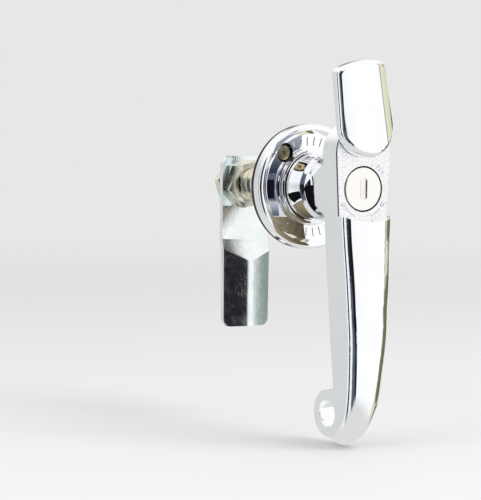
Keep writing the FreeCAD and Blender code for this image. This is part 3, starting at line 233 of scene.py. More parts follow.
# %% What each kind of ray finds
WORLD_LEVEL = 0.78           # light on the object
BACKDROP_LEVEL = 0.80        # what the camera sees behind it
rays = put(room, "ShaderNodeLightPath", -500, 300)
lit_or_mirrored = put(room, "ShaderNodeMix", 0, 0, data_type="RGBA")
lit_or_mirrored.inputs[6].default_value = (WORLD_LEVEL, WORLD_LEVEL, WORLD_LEVEL, 1)
room.links.new(rays.outputs["Is Glossy Ray"], lit_or_mirrored.inputs[0])
room.links.new(mirrored, lit_or_mirrored.inputs[7])
seen = put(room, "ShaderNodeMix", 200, 0, data_type="RGBA")
seen.inputs[7].default_value = (BACKDROP_LEVEL, BACKDROP_LEVEL, BACKDROP_LEVEL, 1)
room.links.new(rays.outputs["Is Camera Ray"], seen.inputs[0])
room.links.new(lit_or_mirrored.outputs[2], seen.inputs[6])
room.links.new(seen.outputs[2], background.inputs["Color"])
print("light", WORLD_LEVEL, "and backdrop", BACKDROP_LEVEL)

# %% [markdown]
# ## Floor and lamps
#
# The lock stands in the air above a pale matt disc, which carries its soft shadow. The disc could be a big
# plane, but then its edge would cut the backdrop, so it fades out before its rim. A large lamp from the
# upper right and a smaller one from the left give the shadow its direction. They are not seen in the metal,
# because the room already holds every softbox that a mirror should find.

# %% Floor
FLOOR_Z = -0.1045
FLOOR_REACH = 1.6
FADE_FROM = 0.35
FADE_TO = FLOOR_REACH * 0.95
FLOOR_GREY = 0.84
bpy.context.scene.view_settings.view_transform = "Standard"
bpy.ops.object.select_all(action="DESELECT")
bpy.ops.mesh.primitive_circle_add(vertices=96, radius=FLOOR_REACH, fill_type="NGON",
                                  location=(0, 0, FLOOR_Z))
floor = bpy.context.object
floor.name = "studio_floor"
floor.visible_glossy = False
floor_look = bpy.data.materials.new("studio_floor")
floor_look.use_nodes = True
ground_tree = floor_look.node_tree
floor_shader = ground_tree.nodes["Principled BSDF"]
floor_shader.inputs["Base Color"].default_value = (FLOOR_GREY, FLOOR_GREY, FLOOR_GREY, 1)
floor_shader.inputs["Roughness"].default_value = 0.8
floor_shader.inputs["Specular IOR Level"].default_value = 0.1
place = put(ground_tree, "ShaderNodeTexCoord", -900, -300)
far = put(ground_tree, "ShaderNodeVectorMath", -700, -300, operation="LENGTH")
ground_tree.links.new(place.outputs["Object"], far.inputs[0])
fade = put(ground_tree, "ShaderNodeMapRange", -500, -300, interpolation_type="SMOOTHSTEP")
fade.inputs["From Min"].default_value = FADE_FROM
fade.inputs["From Max"].default_value = FADE_TO
fade.inputs["To Min"].default_value = 1.0
fade.inputs["To Max"].default_value = 0.0
ground_tree.links.new(far.outputs["Value"], fade.inputs["Value"])
ground_tree.links.new(fade.outputs[0], floor_shader.inputs["Alpha"])
floor.data.materials.append(floor_look)
print("floor at", FLOOR_Z, "m")


# %% Lamps
def softbox(name, place, aim, width, height, power):
    """A rectangular lamp that aims at a point. Mirrors see the room instead of it."""
    data = bpy.data.lights.new(name, "AREA")
    data.shape = "RECTANGLE"
    data.size = width
    data.size_y = height
    data.energy = power
    lamp = bpy.data.objects.new(name, data)
    bpy.context.scene.collection.objects.link(lamp)
    lamp.location = place
    lamp.rotation_euler = (Vector(aim) - Vector(place)).to_track_quat("-Z", "Y").to_euler()
    lamp.visible_glossy = False
    return lamp


LOCK_MIDDLE = (0, 0, -0.02)
softbox("key_softbox", (0.45, -0.75, 0.70), LOCK_MIDDLE, width=0.6, height=0.8, power=5.0)
softbox("side_softbox", (-0.9, -0.2, 0.35), LOCK_MIDDLE, width=0.5, height=0.9, power=2.5)
print("lamps:", len(bpy.data.lights))

# %% [markdown]
# ## Cards
#
# The bright sheet of the cam would mirror only the front softbox and look empty, and so would the dish of
# the rosette. Photographers put small cards just outside the picture for such faces. Here they stand where
# the cabinet's inside and the space round the hub are. Only mirror rays find them, only from one side and
# some only in the first mirror, so that a card made for one face doesn't show in another. Each fades from
# one tone to a second.


# %% Card helper
def card(name, tones, middle, width, height, fade="X", away=False, mirrors=8):
    """A small upright card seen in mirrors behind it, or in those before it when turned away."""
    bpy.ops.object.select_all(action="DESELECT")
    lean = -math.pi / 2 if away else math.pi / 2
    bpy.ops.mesh.primitive_plane_add(size=1, location=Vector(middle) * MM, rotation=(lean, 0, 0))
    piece = bpy.context.object
    piece.scale = (width * MM, height * MM, 1)
    piece.name = name
    look = bpy.data.materials.new(name)
    look.use_nodes = True
    tree = look.node_tree
    shader = tree.nodes["Principled BSDF"]
    shader.inputs["Base Color"].default_value = (0, 0, 0, 1)
    shader.inputs["Specular IOR Level"].default_value = 0.0
    shader.inputs["Emission Strength"].default_value = 1.0
    place = put(tree, "ShaderNodeTexCoord", -1100, 0)
    split = put(tree, "ShaderNodeSeparateXYZ", -900, 0)
    share = put(tree, "ShaderNodeMapRange", -700, 0, interpolation_type="SMOOTHSTEP")
    share.inputs["From Min"].default_value = -0.5
    share.inputs["From Max"].default_value = 0.5
    blend = put(tree, "ShaderNodeMix", -400, 0, data_type="RGBA")
    blend.inputs[6].default_value = (*tones[0], 1)
    blend.inputs[7].default_value = (*tones[1], 1)
    side = put(tree, "ShaderNodeNewGeometry", -700, -300)
    path = put(tree, "ShaderNodeLightPath", -900, -500)
    early = put(tree, "ShaderNodeMath", -700, -500, operation="LESS_THAN")
    early.inputs[1].default_value = mirrors + 0.5
    both = put(tree, "ShaderNodeMath", -400, -300, operation="MULTIPLY")
    tree.links.new(place.outputs["Object"], split.inputs[0])
    tree.links.new(split.outputs[fade], share.inputs["Value"])
    tree.links.new(share.outputs[0], blend.inputs[0])
    tree.links.new(blend.outputs[2], shader.inputs["Emission Color"])
    tree.links.new(path.outputs["Ray Depth"], early.inputs[0])
    tree.links.new(side.outputs["Backfacing"], both.inputs[0])
    tree.links.new(early.outputs[0], both.inputs[1])
    tree.links.new(both.outputs[0], shader.inputs["Alpha"])
    piece.data.materials.append(look)
    piece.visible_camera = False
    piece.visible_diffuse = False
    piece.visible_transmission = False
    piece.visible_shadow = False
    print(name, "of", width, "by", height, "mm")
    return piece


# %% Cards behind the door, for the cam
BLACK = (0.006, 0.006, 0.008)
DUSK = (0.020, 0.018, 0.024)
card("dark_card", (DUSK, DUSK), (1.2, 20.0, -48.0), 16.4, 42.0)
card("green_card", ((0.30, 0.35, 0.32), (0.22, 0.27, 0.24)), (39.0, 20.0, -48.0), 17.0, 42.0)
card("joggle_card", ((0.03, 0.065, 0.08), (0.36, 0.43, 0.46)), (14.0, 20.0, -3.0), 13.0, 10.0)
card("teal_card", ((0.16, 0.23, 0.25), (0.86, 0.92, 0.93)), (-7.2, 40.0, 1.0), 9.0, 22.0)

# %% Cards round the hub, for the dish and the hub itself
card("olive_card", ((0.30, 0.26, 0.17), (0.09, 0.075, 0.05)), (-9.7, -9.0, -18.6), 18.6, 13.4)
card("upper_slate_card", ((0.03, 0.04, 0.065), (0.33, 0.36, 0.42)), (-10.6, -9.0, 13.0), 16.0, 15.6,
     fade="Y", mirrors=1)
card("navy_card", (BLACK, (0.008, 0.008, 0.022)), (-16.2, -9.0, -1.0), 4.2, 7.4, mirrors=1)
card("lower_slate_card", ((0.09, 0.12, 0.17), (0.45, 0.48, 0.55)), (-15.4, -9.0, -8.9), 6.6, 5.4,
     fade="Y", mirrors=1)
card("hub_card", (BLACK, BLACK), (-16.6, -8.6, -5.6), 6.0, 5.4, away=True, mirrors=1)
card("flare_card", (BLACK, BLACK), (-9.5, -19.2, -4.8), 14.0, 10.8, away=True, mirrors=1)

# %% [markdown]
# ## Surface effects
#
# Real metal is never even. The next groups give: a haze of handling on the polish, clouds in the plating,
# the fine rings that a lathe leaves, the lines of rolled sheet, and the grit of a sanded mould. The same
# nodes could be laid out again in every material. A group is laid out once, and each material only gives it
# other values. All groups read the object's own coordinates in metres, so a scale of 1000 gives features of
# about a millimetre, and a pattern stays on its piece when the piece moves.


# %% Effect groups
def object_coordinates(tree):
    """The place of a point in its piece, in metres."""
    return put(tree, "ShaderNodeTexCoord", -900, -300).outputs["Object"]


def polish_haze():
    """Roughness that changes softly between a clean and a hazy value."""
    group, enter, leave = start_group(
        "polish_haze",
        [("Scale", FLOAT, 90.0), ("Clean", FLOAT, 0.03), ("Hazy", FLOAT, 0.08)],
        [("Roughness", FLOAT)])
    noise = put(group, "ShaderNodeTexNoise", -500, 0)
    noise.inputs["Detail"].default_value = 5.0
    spread = put(group, "ShaderNodeMapRange", 0, 0)
    spread.inputs["From Min"].default_value = 0.38
    spread.inputs["From Max"].default_value = 0.68
    group.links.new(object_coordinates(group), noise.inputs["Vector"])
    group.links.new(enter.outputs["Scale"], noise.inputs["Scale"])
    group.links.new(noise.outputs["Fac"], spread.inputs["Value"])
    group.links.new(enter.outputs["Clean"], spread.inputs["To Min"])
    group.links.new(enter.outputs["Hazy"], spread.inputs["To Max"])
    group.links.new(spread.outputs[0], leave.inputs["Roughness"])
    return group


def plating_cloud():
    """Two tones of one plating in soft clouds with small specks."""
    group, enter, leave = start_group(
        "plating_cloud",
        [("Scale", FLOAT, 160.0), ("Light", COLOUR, (1, 1, 1, 1)), ("Deep", COLOUR, (0, 0, 0, 1))],
        [("Color", COLOUR)])
    cloud = put(group, "ShaderNodeTexNoise", -500, 200)
    cloud.inputs["Detail"].default_value = 8.0
    cloud.inputs["Roughness"].default_value = 0.62
    spread = put(group, "ShaderNodeMapRange", -200, 200)
    spread.inputs["From Min"].default_value = 0.36
    spread.inputs["From Max"].default_value = 0.66
    blend = put(group, "ShaderNodeMix", 200, 0, data_type="RGBA")
    group.links.new(object_coordinates(group), cloud.inputs["Vector"])
    group.links.new(enter.outputs["Scale"], cloud.inputs["Scale"])
    group.links.new(cloud.outputs["Fac"], spread.inputs["Value"])
    group.links.new(spread.outputs[0], blend.inputs[0])
    group.links.new(enter.outputs["Light"], blend.inputs[6])
    group.links.new(enter.outputs["Deep"], blend.inputs[7])
    group.links.new(blend.outputs[2], leave.inputs["Color"])
    return group


def turned_rings():
    """Fine rings round an axis along Y, at a given height above the spindle."""
    group, enter, leave = start_group(
        "turned_rings",
        [("Density", FLOAT, 4000.0), ("Axis Z", FLOAT, 0.0)],
        [("Height", FLOAT)])
    split = put(group, "ShaderNodeSeparateXYZ", -700, -200)
    lift = put(group, "ShaderNodeMath", -500, -250, operation="SUBTRACT")
    join = put(group, "ShaderNodeCombineXYZ", -350, -150)
    radius = put(group, "ShaderNodeVectorMath", -200, -150, operation="LENGTH")
    noise = put(group, "ShaderNodeTexNoise", 150, 0, noise_dimensions="1D")
    noise.inputs["Detail"].default_value = 3.0
    group.links.new(object_coordinates(group), split.inputs[0])
    group.links.new(split.outputs["Z"], lift.inputs[0])
    group.links.new(enter.outputs["Axis Z"], lift.inputs[1])
    group.links.new(split.outputs["X"], join.inputs["X"])
    group.links.new(lift.outputs[0], join.inputs["Z"])
    group.links.new(join.outputs[0], radius.inputs[0])
    group.links.new(radius.outputs["Value"], noise.inputs["W"])
    group.links.new(enter.outputs["Density"], noise.inputs["Scale"])
    group.links.new(noise.outputs["Fac"], leave.inputs["Height"])
    return group


def rolled_lines():
    """Long thin lines that run up and down a sheet."""
    group, enter, leave = start_group(
        "rolled_lines", [("Density", FLOAT, 1.0)], [("Height", FLOAT), ("Speck", FLOAT)])
    stretch = put(group, "ShaderNodeMapping", -700, -200)
    stretch.inputs["Scale"].default_value = (2600.0, 2600.0, 60.0)
    lines = put(group, "ShaderNodeTexNoise", -300, 0)
    lines.inputs["Detail"].default_value = 4.0
    specks = put(group, "ShaderNodeTexVoronoi", -300, -300)
    specks.inputs["Scale"].default_value = 900.0
    near = put(group, "ShaderNodeMapRange", 0, -300)
    near.inputs["From Min"].default_value = 0.16
    near.inputs["From Max"].default_value = 0.05
    group.links.new(object_coordinates(group), stretch.inputs["Vector"])
    group.links.new(stretch.outputs[0], lines.inputs["Vector"])
    group.links.new(enter.outputs["Density"], lines.inputs["Scale"])
    group.links.new(object_coordinates(group), specks.inputs["Vector"])
    group.links.new(specks.outputs["Distance"], near.inputs["Value"])
    group.links.new(lines.outputs["Fac"], leave.inputs["Height"])
    group.links.new(near.outputs[0], leave.inputs["Speck"])
    return group


def mould_grit():
    """Dense small bumps."""
    group, enter, leave = start_group(
        "mould_grit", [("Scale", FLOAT, 2600.0), ("Detail", FLOAT, 3.0)], [("Height", FLOAT)])
    noise = put(group, "ShaderNodeTexNoise", -300, 0)
    noise.inputs["Roughness"].default_value = 0.7
    group.links.new(enter.outputs["Detail"], noise.inputs["Detail"])
    group.links.new(object_coordinates(group), noise.inputs["Vector"])
    group.links.new(enter.outputs["Scale"], noise.inputs["Scale"])
    group.links.new(noise.outputs["Fac"], leave.inputs["Height"])
    return group


EFFECTS = {make.__name__: make() for make in
           (polish_haze, plating_cloud, turned_rings, rolled_lines, mould_grit)}
print("effect groups:", ", ".join(EFFECTS))


# %% [markdown]
# ## Modelling helpers
#
# The rest of the model comes from CAD, but two small screws are made here by hand. Every operator acts on
# what is selected, so one helper selects a piece alone, one starts a primitive alone, and one picks faces by
# their place.


# %% Modelling helpers
def select_only(piece):
    """Make one piece the only thing that the next operator acts on."""
    bpy.ops.object.select_all(action="DESELECT")
    piece.select_set(True)
    bpy.context.view_layer.objects.active = piece


def start_piece(name, add, **settings):
    """Add a primitive with nothing else selected, and name it."""
    bpy.ops.object.select_all(action="DESELECT")
    add(**settings)
    piece = bpy.context.object
    piece.name = name
    piece.data.name = name
    return piece


def pick_faces(piece, wanted):
    """Go to edit mode with only the faces selected whose centre and normal pass a test."""
    bpy.ops.object.mode_set(mode="EDIT")
    bpy.ops.mesh.select_mode(type="FACE")
    bpy.ops.mesh.select_all(action="DESELECT")
    bpy.ops.object.mode_set(mode="OBJECT")
    for face in piece.data.polygons:
        face.select = wanted(face.center, face.normal)
    bpy.ops.object.mode_set(mode="EDIT")


def scale_picked(factor, height):
    """Scale the selection round the Z axis of the piece."""
    bpy.ops.transform.resize(value=(factor, factor, 1), center_override=(0, 0, height))


def apply_modifier(piece, kind, **settings):
    """Add one modifier and make its result the mesh."""
    bpy.context.view_layer.objects.active = piece
    modifier = piece.modifiers.new(kind.lower(), kind)
    for name, value in settings.items():
        setattr(modifier, name, value)
    bpy.ops.object.modifier_apply(modifier=modifier.name)


# %% [markdown]
# ## Rosette screws
#
# Two countersunk screws hold the rosette on the door. Their heads show from the front and their threads
# from behind, so each is modelled in full. A screw starts as a short cylinder. Its lower face is scaled down
# to make the cone, and its upper face is inset and raised twice to make the slight dome. The cross is cut
# with two tapered bars and a pointed centre. A bevel rounds the edges before the thread is drawn out of the
# lower face, because a bevel on the thread would only cost faces. A true thread is a helix. At this size
# rings look the same, and the ring at the tip closes cleanly.

# %% Head of one screw
FLAT = 0.9                           # a face counts as level above this share of its normal
SCREW_HEAD_R = 3.05 * MM
SCREW_HEAD_H = 1.3 * MM
SCREW_NECK_R = 2.3 * MM
SCREW_NECK_H = 3.1 * MM
SCREW_CORE_R = 1.7 * MM
SCREW_LENGTH = 12.0 * MM
THREAD_R = 2.0 * MM
THREAD_PITCH = 0.7 * MM
TIP_SHARE = 0.7                      # the last ring is this much narrower
EDGE_R = 0.07 * MM
CROSS_LENGTH = 3.5 * MM
CROSS_WIDTH = 0.85 * MM
CROSS_DEPTH = 1.25 * MM
CROSS_FOOT = (0.5, 0.6, 1)           # size of a bar's foot over its top
CENTRE_R = 1.15 * MM
DOME = ((0.5 * MM, 0.10 * MM), (0.9 * MM, 0.07 * MM))      # inset and rise of each step

screw = start_piece("rosette_screw_upper", bpy.ops.mesh.primitive_cylinder_add, vertices=48,
                    radius=SCREW_HEAD_R, depth=SCREW_HEAD_H, location=(0, 0, -SCREW_HEAD_H / 2))
bpy.ops.object.transform_apply(location=True)
pick_faces(screw, lambda centre, normal: normal.z > FLAT)
for inset, rise in DOME:
    bpy.ops.mesh.inset(thickness=inset)
    bpy.ops.transform.translate(value=(0, 0, rise))
pick_faces(screw, lambda centre, normal: normal.z < -FLAT)
scale_picked(SCREW_NECK_R / SCREW_HEAD_R, -SCREW_HEAD_H)
bpy.ops.object.mode_set(mode="OBJECT")
print("head faces:", len(screw.data.polygons))

# %% Cross of the screw
cutters = []
for turn_deg in (0, 90):
    bar = start_piece("cross_cutter", bpy.ops.mesh.primitive_cube_add, size=1,
                      scale=(CROSS_LENGTH, CROSS_WIDTH, 2 * CROSS_DEPTH))
    bpy.ops.object.transform_apply(scale=True)
    pick_faces(bar, lambda centre, normal: normal.z < -FLAT)
    bpy.ops.transform.resize(value=CROSS_FOOT, center_override=(0, 0, -CROSS_DEPTH))
    bpy.ops.object.mode_set(mode="OBJECT")
    bar.rotation_euler.z = math.radians(turn_deg)
    cutters.append(bar)
cutters.append(start_piece("cross_cutter", bpy.ops.mesh.primitive_cone_add, vertices=24,
                           radius1=0, radius2=CENTRE_R, depth=2 * CROSS_DEPTH, location=(0, 0, 0)))
for cutter in cutters:
    apply_modifier(screw, "BOOLEAN", operation="DIFFERENCE", object=cutter)
for cutter in cutters:
    bpy.data.objects.remove(cutter)
apply_modifier(screw, "BEVEL", width=EDGE_R, segments=2, limit_method="ANGLE",
               angle_limit=math.radians(30))
print("faces with the cross:", len(screw.data.polygons))

# %% Neck and thread of the screw
FOOT_SHARE = 0.9                     # the foot lies below this share of the head's height
select_only(screw)
pick_faces(screw, lambda centre, normal: normal.z < -FLAT and centre.z < -FOOT_SHARE * SCREW_HEAD_H)
bpy.ops.mesh.extrude_region_move(TRANSFORM_OT_translate={"value": (0, 0, -SCREW_NECK_H)})
depth = -SCREW_HEAD_H - SCREW_NECK_H
bpy.ops.mesh.inset(thickness=SCREW_NECK_R - SCREW_CORE_R)
thread_rings = int((SCREW_LENGTH + depth) / THREAD_PITCH)
for ring in range(thread_rings):
    narrow = TIP_SHARE if ring == thread_rings - 1 else 1.0
    for factor in (THREAD_R / SCREW_CORE_R, SCREW_CORE_R / THREAD_R * narrow):
        depth -= THREAD_PITCH / 2
        bpy.ops.mesh.extrude_region_move(TRANSFORM_OT_translate={"value": (0, 0, -THREAD_PITCH / 2)})
        scale_picked(factor, depth)
bpy.ops.object.mode_set(mode="OBJECT")
bpy.ops.object.shade_smooth_by_angle(angle=math.radians(35))
print("screw faces:", len(screw.data.polygons))

# %% Place both screws
made = {}                    # the pieces made here, by the name of their finish
low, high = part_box("rosette_screws")
SCREW_AT = high[0] - SCREW_HEAD_R, low[1], high[2] - SCREW_HEAD_R      # place of a screw, by its box
CROSS_TURN = 20.0
other = screw.copy()
other.data = screw.data.copy()
other.name = "rosette_screw_lower"
bpy.context.scene.collection.objects.link(other)
for piece, side in ((screw, 1), (other, -1)):
    select_only(piece)
    piece.rotation_euler = (math.radians(90), math.radians(CROSS_TURN), 0)
    piece.location = (-side * SCREW_AT[0], SCREW_AT[1], side * SCREW_AT[2])
    bpy.ops.object.transform_apply(location=True, rotation=True)
    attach(piece, "rosette")
    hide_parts("rosette_screws")
    made.setdefault("screw_zinc", []).append(piece)
print("screws at", [round(n / MM, 2) for n in SCREW_AT])

# %% [markdown]
# ## Finishes
#
# Each finish starts as a plain metal or rubber and then gets its effects. A helper makes the start, others
# add the clouds, the haze and the relief. Each finish goes to every piece that the record gives it.


# %% Finish helpers
SLOT_OF = {part["node"]: part["material_slot"] for part in frame["record"]["subparts"]}
looks = {}
print("finishes to make:", len(set(SLOT_OF.values())))


def finish(slot, colour, roughness, metallic=1.0):
    """A plain finish, put on every piece of its slot."""
    look = bpy.data.materials.new(slot)
    look.use_nodes = True
    shader = look.node_tree.nodes["Principled BSDF"]
    shader.inputs["Base Color"].default_value = (*colour, 1)
    shader.inputs["Roughness"].default_value = roughness
    shader.inputs["Metallic"].default_value = metallic
    of_slot = [piece for name, piece in nodes.items() if SLOT_OF[name] == slot]
    for piece in of_slot + made.get(slot, []):
        piece.data.materials.clear()
        piece.data.materials.append(look)
    looks[slot] = look
    return look.node_tree, shader


def effect(tree, name, x, y, **values):
    """Place an effect group with its own values."""
    node = put(tree, "ShaderNodeGroup", x, y)
    node.node_tree = EFFECTS[name]
    for label, value in values.items():
        node.inputs[label.replace("_", " ")].default_value = value
    return node


def add_haze(tree, shader, scale, clean, hazy):
    """Roughness in soft patches, from the clean to the hazy value."""
    node = effect(tree, "polish_haze", -400, 0, Scale=scale, Clean=clean, Hazy=hazy)
    tree.links.new(node.outputs["Roughness"], shader.inputs["Roughness"])
    return node


def add_cloud(tree, shader, scale, light, deep):
    """Tone in soft clouds, from the light to the deep one."""
    node = effect(tree, "plating_cloud", -400, 300, Scale=scale, Light=(*light, 1), Deep=(*deep, 1))
    tree.links.new(node.outputs["Color"], shader.inputs["Base Color"])
    return node


def add_relief(tree, shader, height, depth_mm, strength=1.0):
    """Bump from a height of 0 to 1, which is depth_mm deep."""
    bump = put(tree, "ShaderNodeBump", -200, -300)
    bump.inputs["Distance"].default_value = depth_mm * MM
    bump.inputs["Strength"].default_value = strength
    tree.links.new(height, bump.inputs["Height"])
    tree.links.new(bump.outputs[0], shader.inputs["Normal"])
    return bump


# %% [markdown]
# ## Chrome of rosette and cap
#
# Bright chrome on a casting is a mirror with almost no tone of its own. Two things tell it from a perfect
# mirror: a faint haze where hands and cloths rub it, and slow waves that the polishing wheel leaves, which
# make straight reflections wander a little. So the tone hardly changes, and the waves are long and shallow.

# %% Chrome of rosette and cap
CHROME_LIGHT = (0.985, 0.988, 0.995)
CHROME_DEEP = (0.95, 0.955, 0.97)
CHROME_CLEAN = 0.025
CHROME_HAZY = 0.06
for slot in ("rosette_chrome", "cap_chrome"):
    tree, shader = finish(slot, CHROME_LIGHT, CHROME_CLEAN)
    add_cloud(tree, shader, scale=60.0, light=CHROME_LIGHT, deep=CHROME_DEEP)
    add_haze(tree, shader, scale=120.0, clean=CHROME_CLEAN, hazy=CHROME_HAZY)
    wave = effect(tree, "mould_grit", -500, -300, Scale=70.0, Detail=0.0)
    add_relief(tree, shader, wave.outputs["Height"], depth_mm=0.02)
print("chrome is dressed on rosette and cap")

# %% [markdown]
# ## Seats of the screws
#
# The two counterbores get painted shade: a near-black tone for the shade and dark reflections in the recess
# round each screw head. A second material would need its own faces. A mask by the distance from each
# screw's axis does it inside the same chrome, and it stays exact if the screws move.

# %% Painted shade in the seats
SEAT_R = 4.04 * MM
# painted shade: a near-black tone for the shade inside each counterbore
SEAT_PAINTED_SHADE = (0.025, 0.023, 0.025)
tree = looks["rosette_chrome"].node_tree
shader = tree.nodes["Principled BSDF"]
plating = shader.inputs["Base Color"].links[0].from_socket
across = put(tree, "ShaderNodeVectorMath", -1300, 500, operation="MULTIPLY")
across.inputs[1].default_value = (1, 0, 1)
tree.links.new(object_coordinates(tree), across.inputs[0])
nearest = put(tree, "ShaderNodeMath", -900, 500, operation="MINIMUM")
for number, side in enumerate((1, -1)):
    apart = put(tree, "ShaderNodeVectorMath", -1100, 600 - 200 * number, operation="DISTANCE")
    apart.inputs[1].default_value = (-side * SCREW_AT[0], 0, side * SCREW_AT[2])
    tree.links.new(across.outputs[0], apart.inputs[0])
    tree.links.new(apart.outputs["Value"], nearest.inputs[number])
seat_shade_mask = put(tree, "ShaderNodeMath", -700, 500, operation="LESS_THAN")
seat_shade_mask.inputs[1].default_value = SEAT_R
tree.links.new(nearest.outputs[0], seat_shade_mask.inputs[0])
# inside each seat the chrome's tone turns to the painted shade
seat_shaded = put(tree, "ShaderNodeMix", -200, 400, data_type="RGBA")
seat_shaded.inputs[7].default_value = (*SEAT_PAINTED_SHADE, 1)
tree.links.new(seat_shade_mask.outputs[0], seat_shaded.inputs[0])
tree.links.new(plating, seat_shaded.inputs[6])
tree.links.new(seat_shaded.outputs[2], shader.inputs["Base Color"])
print("dull seats of radius", round(SEAT_R / MM, 2), "mm")

# %% [markdown]
# ## Chrome of the handle
#
# The handle is polished like the rosette, but the flat face round the lock is left as the sanded mould gave
# it: matt, with small pits, and with low polished marks on it. The face could be cut out as a mesh of its
# own. Instead masks find it by its place: everything on the plane of the face and inside the circle of the
# step below it. The marks stand out from that plane, so their height finds them.

# %% Masks of the sanded face and its marks
FACE_OUT = 42.9 * MM                 # from the door to the face
FACE_SKIN = (0.06 * MM, 0.02 * MM)   # behind the face the sand starts and is full
MARK_RISE = (0.24 * MM, 0.18 * MM)   # height where a mark is polished and where it is still sanded
STEP_R = 32.2 * MM                   # the step below the face, round the pivot of the cap
STEP_MARGIN = 0.15 * MM
PIVOT_Z = 19.5 * MM
tree, shader = finish("handle_chrome", CHROME_LIGHT, CHROME_CLEAN)
spot = put(tree, "ShaderNodeSeparateXYZ", -1300, 0)
tree.links.new(object_coordinates(tree), spot.inputs[0])
lift = put(tree, "ShaderNodeMath", -1100, -200, operation="SUBTRACT")
lift.inputs[1].default_value = PIVOT_Z
tree.links.new(spot.outputs["Z"], lift.inputs[0])
flat = put(tree, "ShaderNodeCombineXYZ", -950, -150)
tree.links.new(spot.outputs["X"], flat.inputs["X"])
tree.links.new(lift.outputs[0], flat.inputs["Z"])
reach = put(tree, "ShaderNodeVectorMath", -800, -150, operation="LENGTH")
tree.links.new(flat.outputs[0], reach.inputs[0])
inside = put(tree, "ShaderNodeMath", -650, -150, operation="LESS_THAN")
inside.inputs[1].default_value = STEP_R - STEP_MARGIN
tree.links.new(reach.outputs["Value"], inside.inputs[0])
front = put(tree, "ShaderNodeMapRange", -950, 100)
front.inputs["From Min"].default_value = -FACE_OUT + FACE_SKIN[0]
front.inputs["From Max"].default_value = -FACE_OUT + FACE_SKIN[1]
tree.links.new(spot.outputs["Y"], front.inputs["Value"])
marks = put(tree, "ShaderNodeMapRange", -950, 350)
marks.inputs["From Min"].default_value = -FACE_OUT - MARK_RISE[0]
marks.inputs["From Max"].default_value = -FACE_OUT - MARK_RISE[1]
tree.links.new(spot.outputs["Y"], marks.inputs["Value"])
on_face = put(tree, "ShaderNodeMath", -650, 100, operation="MULTIPLY")
tree.links.new(front.outputs[0], on_face.inputs[0])
tree.links.new(inside.outputs[0], on_face.inputs[1])
sanded = put(tree, "ShaderNodeMath", -500, 200, operation="MULTIPLY")
tree.links.new(on_face.outputs[0], sanded.inputs[0])
tree.links.new(marks.outputs[0], sanded.inputs[1])
print("handle: sanded face inside", round((STEP_R - STEP_MARGIN) / MM, 2), "mm of the pivot")

# %% Roughness and relief of the handle
SAND_ROUGHNESS = 0.24
WAVE_DEPTH = 0.015 * MM
haze = effect(tree, "polish_haze", -700, -400, Scale=120.0, Clean=CHROME_CLEAN, Hazy=CHROME_HAZY)
rough = put(tree, "ShaderNodeMix", -300, 0)
rough.inputs[3].default_value = SAND_ROUGHNESS
tree.links.new(sanded.outputs[0], rough.inputs[0])
tree.links.new(haze.outputs[0], rough.inputs[2])
tree.links.new(rough.outputs[0], shader.inputs["Roughness"])
grit = effect(tree, "mould_grit", -700, -600, Scale=1700.0)
wave = effect(tree, "mould_grit", -700, -750, Scale=60.0, Detail=0.0)
wave_bump = put(tree, "ShaderNodeBump", -400, -750)
wave_bump.inputs["Distance"].default_value = WAVE_DEPTH
tree.links.new(wave.outputs["Height"], wave_bump.inputs["Height"])
grit_share = put(tree, "ShaderNodeMath", -500, -550, operation="MULTIPLY")
tree.links.new(grit.outputs["Height"], grit_share.inputs[0])
tree.links.new(sanded.outputs[0], grit_share.inputs[1])
grit_bump = add_relief(tree, shader, grit_share.outputs[0], depth_mm=0.12)
tree.links.new(wave_bump.outputs[0], grit_bump.inputs["Normal"])
print("handle: roughness", CHROME_CLEAN, "to", CHROME_HAZY, "polished and", SAND_ROUGHNESS, "sanded")

# %% Tone of the handle: polish, pits of the sanded face, tops of the marks
PIT_LEVEL = (0.45, 0.36)             # height of the grit where a pit starts and where it is deepest
PIT_STRENGTH = 0.9
SAND_PIT = (0.30, 0.31, 0.33)
MARK_TONE = (0.70, 0.71, 0.73)
polish = add_cloud(tree, shader, scale=60.0, light=CHROME_LIGHT, deep=CHROME_DEEP)
pits = put(tree, "ShaderNodeMapRange", -500, 450)
pits.inputs["From Min"].default_value = PIT_LEVEL[0]
pits.inputs["From Max"].default_value = PIT_LEVEL[1]
pits.inputs["To Max"].default_value = PIT_STRENGTH
tree.links.new(grit.outputs["Height"], pits.inputs["Value"])
pit_share = put(tree, "ShaderNodeMath", -350, 450, operation="MULTIPLY")
tree.links.new(pits.outputs[0], pit_share.inputs[0])
tree.links.new(sanded.outputs[0], pit_share.inputs[1])
pitted = put(tree, "ShaderNodeMix", -150, 300, data_type="RGBA")
pitted.inputs[7].default_value = (*SAND_PIT, 1)
tree.links.new(pit_share.outputs[0], pitted.inputs[0])
tree.links.new(polish.outputs["Color"], pitted.inputs[6])
mark_tops = put(tree, "ShaderNodeMath", -350, 650, operation="SUBTRACT")
tree.links.new(inside.outputs[0], mark_tops.inputs[0])
tree.links.new(marks.outputs[0], mark_tops.inputs[1])
marked = put(tree, "ShaderNodeMix", 0, 450, data_type="RGBA", clamp_factor=True)
marked.inputs[7].default_value = (*MARK_TONE, 1)
tree.links.new(mark_tops.outputs[0], marked.inputs[0])
tree.links.new(pitted.outputs[2], marked.inputs[6])
tree.links.new(marked.outputs[2], shader.inputs["Base Color"])
print("handle: nodes in its finish", len(tree.nodes))

# %% [markdown]
# ## Zinc of screws, spindle and nuts
#
# Cheap hardware is plated with zinc and passivated, which leaves a yellowish film. On the small screws the
# film is thick, brown and grainy. On spindle and nuts it is thin and pale, over the rings of the lathe.

